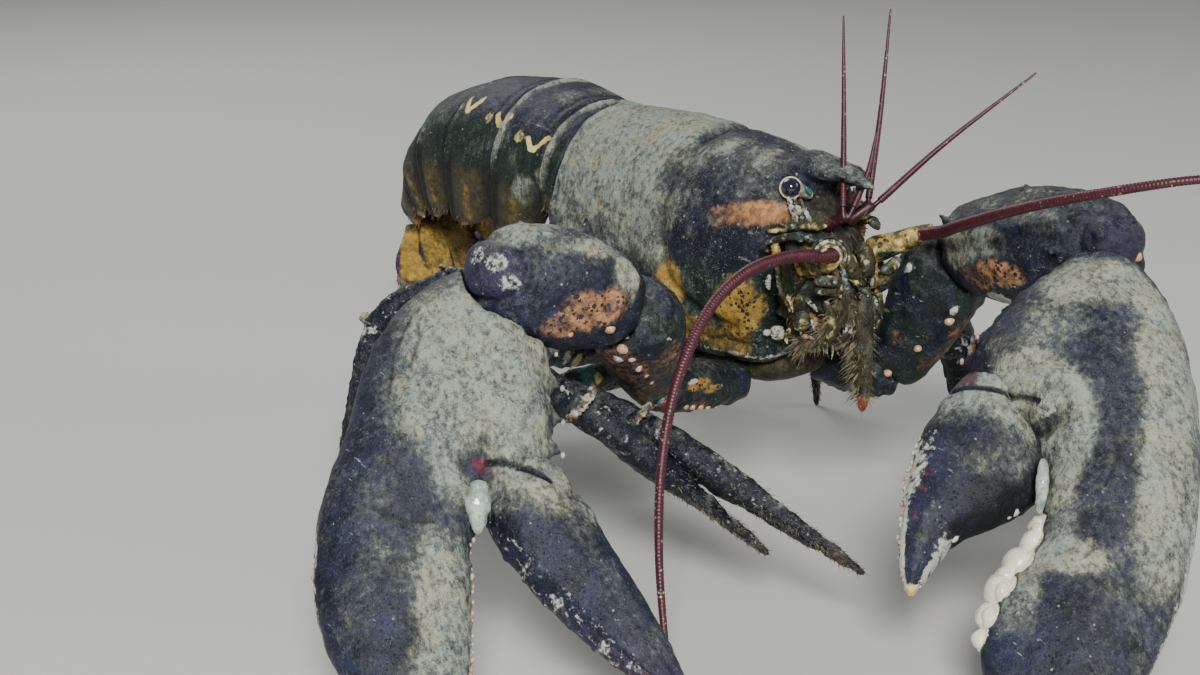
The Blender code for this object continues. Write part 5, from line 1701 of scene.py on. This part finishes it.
# Feelers: points from the root to the tip, and the half widths at both
WHIPS = {
    "right": (
        (-26.5, -184.5, 162.5), (-29, -185, 163), (-50, -181, 165.5), (-74, -179, 163), (-96, -180, 153),
        (-116, -186, 138), (-133, -193, 118), (-147, -202, 92), (-156, -211, 62), (-163, -222, 34),
        (-174, -240, 14), (-188, -268, 6), (-200, -300, 4.5),
    ),
    "left": (
        (32, -185, 163), (33.2, -188.5, 164.3), (29, -203, 169), (21, -219, 176), (11, -250, 189),
        (7, -279, 200), (8, -304, 208), (14, -324, 214), (24, -341, 218), (42, -362, 220),
        (66, -380, 219), (92, -394, 214), (120, -404, 206),
    ),
}
WHIP_THICK = 3.15
WHIP_TIP = 0.6
SHORT_THICK = 1.75
SHORT_TIP = 0.42
RING_RED = (0.085, 0.009, 0.018, 1)
WHIP_DUST = (0.42, 0.36, 0.30, 1)
SHORT_WHIPS = {
    "left": (
        ((17, -166, 180), (32, -158, 220), (46, -149, 266)),
        ((20.5, -170, 179), (47, -186, 206), (82, -210, 239)),
    ),
    "right": (
        ((-5, -170, 180), (3, -161, 220), (11, -151, 266)),
        ((-1.5, -173.5, 180), (7, -174, 196), (15, -171, 213)),
    ),
}


def whip_material():
    """Satin maroon with paler rings and flecks of dust."""
    if "Whip" in bpy.data.materials:
        return bpy.data.materials["Whip"]
    maroon = colours().maroon
    mat, tree, shader = new_material("Whip")
    ground = mottled(tree, shaded(maroon, 0.4), shaded(maroon, 1.3), 300.0)
    ground = mix(tree, times(tree, painted(tree, "ring"), 0.55), ground, RING_RED)
    flecks = flecks_of(tree, 600.0, 0.3, 0.4)
    dusty = plus(tree, times(tree, painted(tree, "silt"), 0.8), 0.12)
    ground = mix(tree, times(tree, flecks, dusty), ground, WHIP_DUST)
    tree.links.new(ground, shader.inputs["Base Color"])
    shader.inputs["Roughness"].default_value = 0.42
    bump_from(tree, shader, grain_noise(tree, 1500.0), 0.3, 0.0003)
    return mat


# The four steps of each ring: share of the radius, and how much of the ring's colour
RING_PROFILE = np.array((0.93, 1.0, 1.03, 1.0))
RING_COLOUR = np.array((0.0, 0.55, 1.0, 0.55))


def ringed_whip(name, points, thick, thin, step, sides=12):
    """A feeler with a narrow waist between its rings."""
    length = np.linalg.norm(np.diff(through(points, 200), axis=0), axis=1).sum()
    steps = len(RING_PROFILE)
    count = max(int(length / step), 8) * steps + 1
    t = np.linspace(0, 1, count)
    radius = thick * (1 - t) ** 0.8 + thin * t
    phase = np.arange(count) % steps
    obj = tube(name, through(points, count), radius * RING_PROFILE[phase], sides)
    stain(obj, ring=np.repeat(RING_COLOUR[phase], sides), silt=np.repeat(smooth(t, 0.2, 0.8), sides))
    return obj


def build_antennae():
    size = sizes()
    for side, points in WHIPS.items():
        whip = ringed_whip("antenna_whip_" + side, points, WHIP_THICK, WHIP_TIP, size.ring_step / MM)
        finish_piece(whip, whip_material(), "whip_maroon", *("antenna_%s_%d" % (side, k) for k in (1, 2, 3)))
        node = "antenna_base_" + side
        base = shell_over(node, size.fine_grain * 0.7, 2, 3, 0.3)
        p = read_points(base)
        push(base, rough(p, 91, (0.25, 4), (0.15, 2)))
        everywhere = np.ones(len(p))
        stain(base,
              ochre=0.55 + 0.5 * swell(p, 7, 93),
              green=0.5 - 0.6 * swell(p, 7, 93),
              cream=0.36 + 0.4 * swell(p, 4, 94),
              deep=0.8 * smooth(swell(p, 3.5, 95), 0.25, 0.7),
              silt=0.1 * everywhere,
              dots=everywhere)
        finish_piece(base, "Olive shell", "shell_green_cream", node)


def build_antennules():
    step = sizes().ring_step / MM * 0.8
    for side, _ in SIDES:
        parts = [ringed_whip("short_whip_%s_%d" % (side, k), points, SHORT_THICK, SHORT_TIP, step, 8)
                 for k, points in enumerate(SHORT_WHIPS[side], 1)]
        finish_piece(joined("antennule_whips_" + side, parts), whip_material(), "whip_maroon")
        node = "antennule_" + side
        stem = shell_over(node, sizes().fine_grain * 0.8, 1, 2, 0.1, node + "_stem")
        finish_piece(stem, whip_material(), "whip_maroon", node)


# Head front and mouth. Small limbs of the right side: points, half widths, flatness and markings
FACE_LIMBS = (
    (((-32, -147, 167.5), (-26, -154, 170), (-19, -161, 171), (-12, -167, 171)), (1.8, 2.6, 2.8, 2.0),
     0.8, {"cream": 0.35, "green": 0.4, "silt": 0.45}),
    (((-33, -147, 162), (-28, -155, 166), (-24, -163, 167), (-20, -170, 165)), (2.0, 3.0, 3.4, 2.4), 0.7,
     {"teal": 0.15, "green": 0.6, "silt": 0.4}),
    (((-24.2, -152.6, 184.5), (-22.8, -154.5, 178), (-21.5, -156, 172)), (0.9, 1.4, 1.0), 1.0,
     {"worn": 0.6, "silt": 0.6}),
    (((-21.5, -154, 183.8), (-20, -156, 178), (-18.5, -158, 172)), (0.9, 1.5, 1.0), 1.0,
     {"worn": 0.5, "cream": 0.3}),
    (((-18.5, -155, 183), (-17, -157.5, 177), (-16, -160, 172)), (0.8, 1.2, 0.9), 1.0,
     {"worn": 0.5, "silt": 0.5}),
    (((-16.4, -155.4, 189), (-14.8, -156.6, 187), (-13.8, -157.4, 185)), (0.9, 1.4, 1.0), 1.0,
     {"teal": 0.6, "green": 0.4}),
    (((-29.5, -150.8, 164.5), (-29.8, -150.8, 160), (-29.5, -150.5, 155.5)), (1.4, 2.3, 1.6), 1.0,
     {"ochre": 0.95}),
    # This small curl is a painted highlight: a glint in pale white and teal
    (((-32.2, -149.6, 147), (-32.6, -149.2, 143.5), (-32, -149.2, 140)), (1.0, 1.6, 1.0), 1.0,
     {"worn": 0.9, "teal": 0.7}),
    (((-29, -176, 149.5), (-22, -178.5, 148.5), (-14, -179, 146.5)), (2.6, 3.3, 2.3), 0.9,
     {"silt": 0.55, "green": 0.4, "worn": 0.2}),
    (((-27, -174, 144), (-19, -177, 143), (-12, -178, 140.5)), (2.2, 2.8, 2.0), 0.9,
     {"olive": 0.8, "silt": 0.25}),
    (((-10.5, -171, 157), (-9.5, -176, 149), (-8.5, -178.5, 140)), (1.6, 1.9, 1.4), 1.0,
     {"teal": 0.5, "violet": 0.5, "green": 0.3}),
    (((-14, -169.5, 157), (-13.2, -174.5, 149), (-12, -177, 139)), (1.7, 2.0, 1.5), 1.0,
     {"orange": 0.62, "olive": 0.4}),
    (((-25.6, -148.8, 120.4), (-25, -149, 117), (-24.5, -148.8, 113.6)), (2.6, 3.6, 2.8), 1.0,
     {"worn": 0.6, "green": 0.4}),
    (((-30.4, -147.2, 119.2), (-30.2, -147.4, 116.4)), (1.6, 2.0, 1.6), 1.0, {"worn": 0.75}),
    (((-24.5, -161.5, 130), (-23.5, -163, 126), (-22.5, -163.5, 121.5)), (4.2, 5.0, 4.0), 0.9,
     {"silt": 0.5, "green": 0.3}),
    (((-20.4, -166, 130), (-19, -167.5, 126), (-19.5, -167, 121.5)), (1.2, 1.7, 1.2), 1.0,
     {"orange": 0.9}),
    (((-23, -163.5, 118.5), (-19.5, -168.5, 117.4)), (1.4, 1.0, 0.5), 1.0, {"orange": 0.8, "worn": 0.4}),
    # A thin flap of painted shade, darkening a gap between the mouth's limbs
    (((-24, -168.5, 152), (-26.8, -166, 146), (-29, -161.5, 138)), (0.6, 2.1, 0.5), 0.5, {"deep": 0.7}),
    (((-7, -170, 160), (-6, -176.5, 154), (-3.5, -179.5, 146)), (3.6, 4.4, 3.2), 1.0,
     {"olive": 0.7, "deep": 0.25}),
    (((-30, -152, 152), (-33, -158, 142), (-30, -162, 131)), (1.2, 1.5, 0.9), 1.0,
     {"olive": 0.8, "silt": 0.4}),
    (((-18, -172, 137), (-16, -176, 128), (-17, -174, 117)), (2.6, 3.4, 2.2), 0.8,
     {"olive": 0.7, "silt": 0.3}),
    (((-8, -176, 137), (-7, -179, 128), (-8, -177, 117)), (2.8, 3.4, 2.2), 0.8,
     {"olive": 0.6, "green": 0.5, "silt": 0.3}),
)
# Rings at the root of the right long feeler: radius, thickness and markings
ROOT_CENTRE = np.array((-28.2, -184.6, 162.6))
ROOT_AXIS = (-0.62, -0.73, 0.29)
ROOT_RINGS = (
    (5.0, 1.0, {"orange": 0.5, "worn": 0.3}),
    (7.0, 1.1, {"worn": 0.5, "silt": 0.4}),
    (9.0, 0.9, {"green": 0.6, "silt": 0.3}),
)
LIMB_STEPS = 22


def limb(name, points, halves, flat, marks, seed, lumps=0.35):
    """A soft limb segment along a curve, rounded at its ends, with markings of its own."""
    path = through(points, LIMB_STEPS)
    t = np.linspace(0, 1, LIMB_STEPS)
    ends = np.clip(np.minimum(t, 1 - t) / 0.14, 0, 1)
    radii = np.interp(t, np.linspace(0, 1, len(halves)), halves) * np.sqrt(1 - (1 - ends) ** 2 * 0.96)
    obj = tube(name, path, radii, 14, flat)
    modify(obj, "SUBSURF", levels=1, render_levels=1)
    p = read_points(obj)
    _, share = line_distance(p, path)
    wrinkles = np.cos(share * 2 * math.pi * max(2, round(len(points) * 1.6)))
    push(obj, lumps * (rough(p, seed, (1.2, 3.0), (0.7, 1.4)) + 0.5 * wrinkles))
    # Every limb takes faint random cream and pale patches as painted highlights; its painted shade starts at
    # none, and the random part below adds a little
    marks = {"deep": 0.0, "cream": 0.16, "worn": 0.10, **marks}
    stain(obj, **{key: value + 0.45 * swell(p, 2.6, seed + 2 + k)
                  for k, (key, value) in enumerate(marks.items())})
    return obj


# Markings that the small jaw limbs take at random
TWIG_MARKS = (
    {"olive": 0.7}, {"cream": 0.5, "green": 0.3}, {"green": 0.8}, {"silt": 0.6},
    {"orange": 0.45, "silt": 0.2}, {"worn": 0.5},
)


def twigs(name, obj, weight, count, down, seed):
    """Small jaw limbs that stand out of a piece and bend down."""
    roots, normals, rng = pick_roots(obj, weight, count, seed)
    parts = []
    for k, (root, normal) in enumerate(zip(roots, normals)):
        way = unit(normal * 0.8 + np.asarray(down, float) + rng.normal(scale=0.35, size=3))
        reach = rng.uniform(5, 11)
        thick = rng.uniform(0.6, 1.5)
        points = (root - normal * 0.8, root + way * reach * 0.5 + normal * reach * 0.15, root + way * reach)
        marks = TWIG_MARKS[int(rng.integers(len(TWIG_MARKS)))]
        parts.append(limb("twig", points, (thick, thick * 1.15, thick * 0.45), 0.8, marks, seed + k, 0.2))
    return joined(name, parts)


def build_face_side(side, sign, head, lower):
    """The small limbs of one side of the mouth, with the fringe of the feeler's scale."""
    flip = np.array((-sign, 1, 1))
    parts = [limb("face", [np.array(q) * flip for q in points], halves, flat, marks, 130 + k)
             for k, (points, halves, flat, marks) in enumerate(FACE_LIMBS)]
    scale = parts[0]
    roots, normals, rng = pick_roots(scale, read_normals(scale)[:, 2] > 0.2, 130, 131)
    bunch = twigs("jaw_twigs_" + side, head, lower, 34, (sign * -0.15, -0.3, -0.9), 170 + (sign > 0))
    finish_piece(bunch, "Olive shell", "shell_olive")
    add_hairs("feeler_scale_fringe_" + side, roots, normals * 0.5 + (sign * 0.35, -0.65, 0.55),
              rng, (2.5, 6), (0, -0.1, 0.1), 132, 0.8)
    finish_piece(joined("face_limbs_" + side, parts), "Olive shell", "shell_olive")


def build_head():
    head = shell_over("head_front", sizes().grain, 2, 4, 0.0)
    p, n = read_surface(head)
    height = rough(p, 101, (1.5, 9), (1.0, 4.5), (0.5, 2.2))
    push(head, height - 0.8)
    stain(head,
          cream=0.15 + 0.3 * swell(p, 6, 104),
          green=0.5 + 0.4 * swell(p, 8, 105),
          silt=0.22 + 0.3 * swell(p, 5, 106),
          olive=0.4 + 0.4 * swell(p, 10, 107),
          # Painted shade over the head's front, strongest in its hollows
          deep=0.40 + 0.65 * smooth(-height, -0.9, 0.6))
    finish_piece(head, "Olive shell", "shell_olive", "head_front")
    hairy = smooth(-p[:, 1], 146, 154) * (n[:, 1] < 0.2) * (p[:, 2] < 168)
    roots, normals, rng = pick_roots(head, hairy, 260, 107)
    ways = normals + rng.normal(scale=0.5, size=(len(roots), 3)) + (0, -0.1, -0.6)
    add_hairs("head_front_hairs", roots, ways, rng, (1.5, 4), (0, -0.1, -0.4), 108,
              0.8)
    for side, sign in SIDES:
        lower = smooth(-p[:, 1], 148, 156) * (p[:, 2] < 156) * (n[:, 1] < 0.3) * (p[:, 0] * sign > 0)
        build_face_side(side, sign, head, lower)
        build_maxilliped(side)
    build_root_rings()
    build_underside()


def build_root_rings():
    parts = []
    for k, (radius, thick, marks) in enumerate(ROOT_RINGS):
        ring = circle(ROOT_CENTRE + np.array((0.5, 0.6, -0.2)) * k, ROOT_AXIS, radius, -30, 250, 16)
        parts.append(limb("ring", ring, (thick * 0.6, thick, thick, thick * 0.5), 1.0, marks, 150 + k, 0.15))
    finish_piece(joined("feeler_root_rings", parts), "Olive shell", "shell_green_cream")


def build_underside():
    under = shell_over("thorax_underside", sizes().grain, 2, 3, 0.1)
    p = read_points(under)
    push(under, 0.5 * swell(p, 7, 121) + groove(((p[:, 1] + 200) % 22) - 11, 1.6, 0.8))
    stain(under,
          ochre=0.1 + 0.3 * swell(p, 12, 122),
          silt=0.15 + 0.2 * swell(p, 8, 123),
          green=0.3 + 0.4 * swell(p, 9, 124),
          deep=0.35 + 0.3 * swell(p, 10, 125))
    finish_piece(under, "Olive shell", "shell_olive", "thorax_underside")


# The way the comb of a jaw limb looks, toward the mouth's middle
COMB_WAY = np.array((-0.766, 0.64, 0.0))


def build_maxilliped(side):
    """A jaw limb with hairs on both edges and a comb of stiff bristles inside."""
    node = "maxilliped_" + side
    obj = shell_over(node, sizes().fine_grain, 2, 3, 0.3)
    p, n = read_surface(obj)
    push(obj, rough(p, 111, (0.5, 5), (0.25, 2.4)))
    low = smooth(95 - p[:, 2], 0, 12) * (side == "left")
    stain(obj,
          silt=0.3 + 0.3 * swell(p, 6, 113),
          green=0.3 + 0.4 * swell(p, 7, 114),
          ochre=0.35 * low,
          tip=0.55 * low,
          cream=0.3 * swell(p, 5, 116),
          deep=0.7 * smooth(swell(p, 9, 117), 0.0, 0.7))
    finish_piece(obj, "Olive shell", "shell_olive", node)
    roots, normals, rng = pick_roots(obj, (np.abs(n[:, 0]) > 0.4) + 0.1, 200, 115)
    add_hairs(node + "_hairs", roots, normals + (0, 0, -0.5), rng, (1.5, 3.5),
              (0, 0, -0.3), 116, 0.8)
    comb = (n @ COMB_WAY > 0.55) * (p[:, 2] > 84) * (0.6 + 0.4 * np.sin(p[:, 2] * 1.1))
    roots, normals, rng = pick_roots(obj, comb, 190, 118)
    add_hairs(node + "_comb", roots, normals + (0, 0, -0.25), rng, (4, 7.5),
              (0, 0, -0.35), 119, 1.5)


# Stage: floor, light and the camera's place, in the same millimetres
CAMERA_PLACE = (-671.5, -786.3, 393.1)
CAMERA_AIM = (-112.1, -119.8, 125.0)
CAMERA_LENS = 58.9


def look_at(obj, where, aim):
    """Puts a lamp or the camera in its place and turns it to a point."""
    obj.location = where
    obj.rotation_mode = "QUATERNION"
    obj.rotation_quaternion = (Vector(aim) - Vector(where)).to_track_quat("-Z", "Y")


def build_stage():
    pick_none()
    bpy.ops.mesh.primitive_plane_add(size=16, location=(0, 0, 0))
    floor = bpy.context.object
    floor.name = "floor"
    material, _, shader = new_material("Pale floor")
    shader.inputs["Base Color"].default_value = (0.58, 0.575, 0.54, 1)
    shader.inputs["Roughness"].default_value = 0.85
    floor.data.materials.append(material)
    for name, where, aim, side, power in (
            ("key", (-1.1, -1.35, 1.25), (0, -0.1, 0.1), 0.55, 58),
            ("fill", (1.5, -1.2, 0.9), (0, 0, 0.1), 1.2, 11),
            ("rim", (0.3, 1.6, 1.5), (0, 0, 0.1), 1.0, 16)):
        lamp = new_object(name, bpy.data.lights.new(name, "AREA"))
        lamp.data.size = side
        lamp.data.energy = power
        look_at(lamp, where, aim)
    world = bpy.data.worlds.new("Studio")
    world.use_nodes = True
    world.node_tree.nodes["Background"].inputs[0].default_value = (0.86, 0.89, 0.90, 1)
    world.node_tree.nodes["Background"].inputs[1].default_value = 0.29
    bpy.context.scene.world = world
    camera = new_object("camera", bpy.data.cameras.new("camera"))
    camera.data.lens = CAMERA_LENS
    camera.data.sensor_width = 36
    camera.data.clip_start = 0.01
    look_at(camera, place(CAMERA_PLACE), place(CAMERA_AIM))
    bpy.context.scene.camera = camera


class LOBSTER_OT_carapace(bpy.types.Operator):
    """Make the great shell of the back with its grooves and markings"""

    bl_idname = "lobster.carapace"
    bl_label = "Carapace"

    def execute(self, context):
        build_carapace()
        return {"FINISHED"}


class LOBSTER_OT_abdomen(bpy.types.Operator):
    """Make the six tail rings with their side plates"""

    bl_idname = "lobster.abdomen"
    bl_label = "Abdomen"

    def execute(self, context):
        build_abdomen()
        return {"FINISHED"}


class LOBSTER_OT_tail_fan(bpy.types.Operator):
    """Make the telson and the four side plates of the fan"""

    bl_idname = "lobster.tail_fan"
    bl_label = "Tail fan"

    def execute(self, context):
        build_tail_fan()
        return {"FINISHED"}


class LOBSTER_OT_claws(bpy.types.Operator):
    """Make the cutter and the crusher with their teeth"""

    bl_idname = "lobster.claws"
    bl_label = "Claws"

    def execute(self, context):
        build_claws()
        return {"FINISHED"}


class LOBSTER_OT_arms(bpy.types.Operator):
    """Make the three segments that carry each claw"""

    bl_idname = "lobster.arms"
    bl_label = "Arms"

    def execute(self, context):
        build_arms()
        return {"FINISHED"}


class LOBSTER_OT_legs(bpy.types.Operator):
    """Make the eight walking legs"""

    bl_idname = "lobster.legs"
    bl_label = "Legs"

    def execute(self, context):
        build_legs()
        return {"FINISHED"}


class LOBSTER_OT_eyes(bpy.types.Operator):
    """Make the eyes on their stalks"""

    bl_idname = "lobster.eyes"
    bl_label = "Eyes"

    def execute(self, context):
        build_eyes()
        return {"FINISHED"}


class LOBSTER_OT_antennae(bpy.types.Operator):
    """Make the long ringed feelers and their bases"""

    bl_idname = "lobster.antennae"
    bl_label = "Antennae"

    def execute(self, context):
        build_antennae()
        return {"FINISHED"}


class LOBSTER_OT_antennules(bpy.types.Operator):
    """Make the short paired feelers"""

    bl_idname = "lobster.antennules"
    bl_label = "Antennules"

    def execute(self, context):
        build_antennules()
        return {"FINISHED"}


class LOBSTER_OT_head(bpy.types.Operator):
    """Make the front of the head and the mouth's limbs"""

    bl_idname = "lobster.head"
    bl_label = "Head"

    def execute(self, context):
        build_head()
        return {"FINISHED"}


class LOBSTER_OT_stage(bpy.types.Operator):
    """Lay the floor and set the light and the camera"""

    bl_idname = "lobster.stage"
    bl_label = "Stage"

    def execute(self, context):
        build_stage()
        return {"FINISHED"}


STEPS = (
    LOBSTER_OT_carapace,
    LOBSTER_OT_abdomen,
    LOBSTER_OT_tail_fan,
    LOBSTER_OT_claws,
    LOBSTER_OT_arms,
    LOBSTER_OT_legs,
    LOBSTER_OT_eyes,
    LOBSTER_OT_antennae,
    LOBSTER_OT_antennules,
    LOBSTER_OT_head,
    LOBSTER_OT_stage,
)


class LOBSTER_PT_panel(bpy.types.Panel):
    """Lists the sizes, colours and steps."""

    bl_label = "Lobster"
    bl_space_type = "VIEW_3D"
    bl_region_type = "UI"
    bl_category = "Lobster"

    def draw(self, context):
        for group in (context.scene.lobster_sizes, context.scene.lobster_colours):
            for key in group.__annotations__:
                self.layout.prop(group, key)
        for step in STEPS:
            self.layout.operator(step.bl_idname)


CLASSES = (LobsterSizes, LobsterColours, *STEPS, LOBSTER_PT_panel)


def register():
    for cls in CLASSES:
        bpy.utils.register_class(cls)
    bpy.types.Scene.lobster_sizes = bpy.props.PointerProperty(type=LobsterSizes)
    bpy.types.Scene.lobster_colours = bpy.props.PointerProperty(type=LobsterColours)


def unregister():
    del bpy.types.Scene.lobster_colours
    del bpy.types.Scene.lobster_sizes
    for cls in reversed(CLASSES):
        bpy.utils.unregister_class(cls)


def main():
    register()
    pick_none()
    for step in STEPS:
        getattr(bpy.ops.lobster, step.bl_idname.split(".")[1])()


if __name__ == "__main__":
    main()
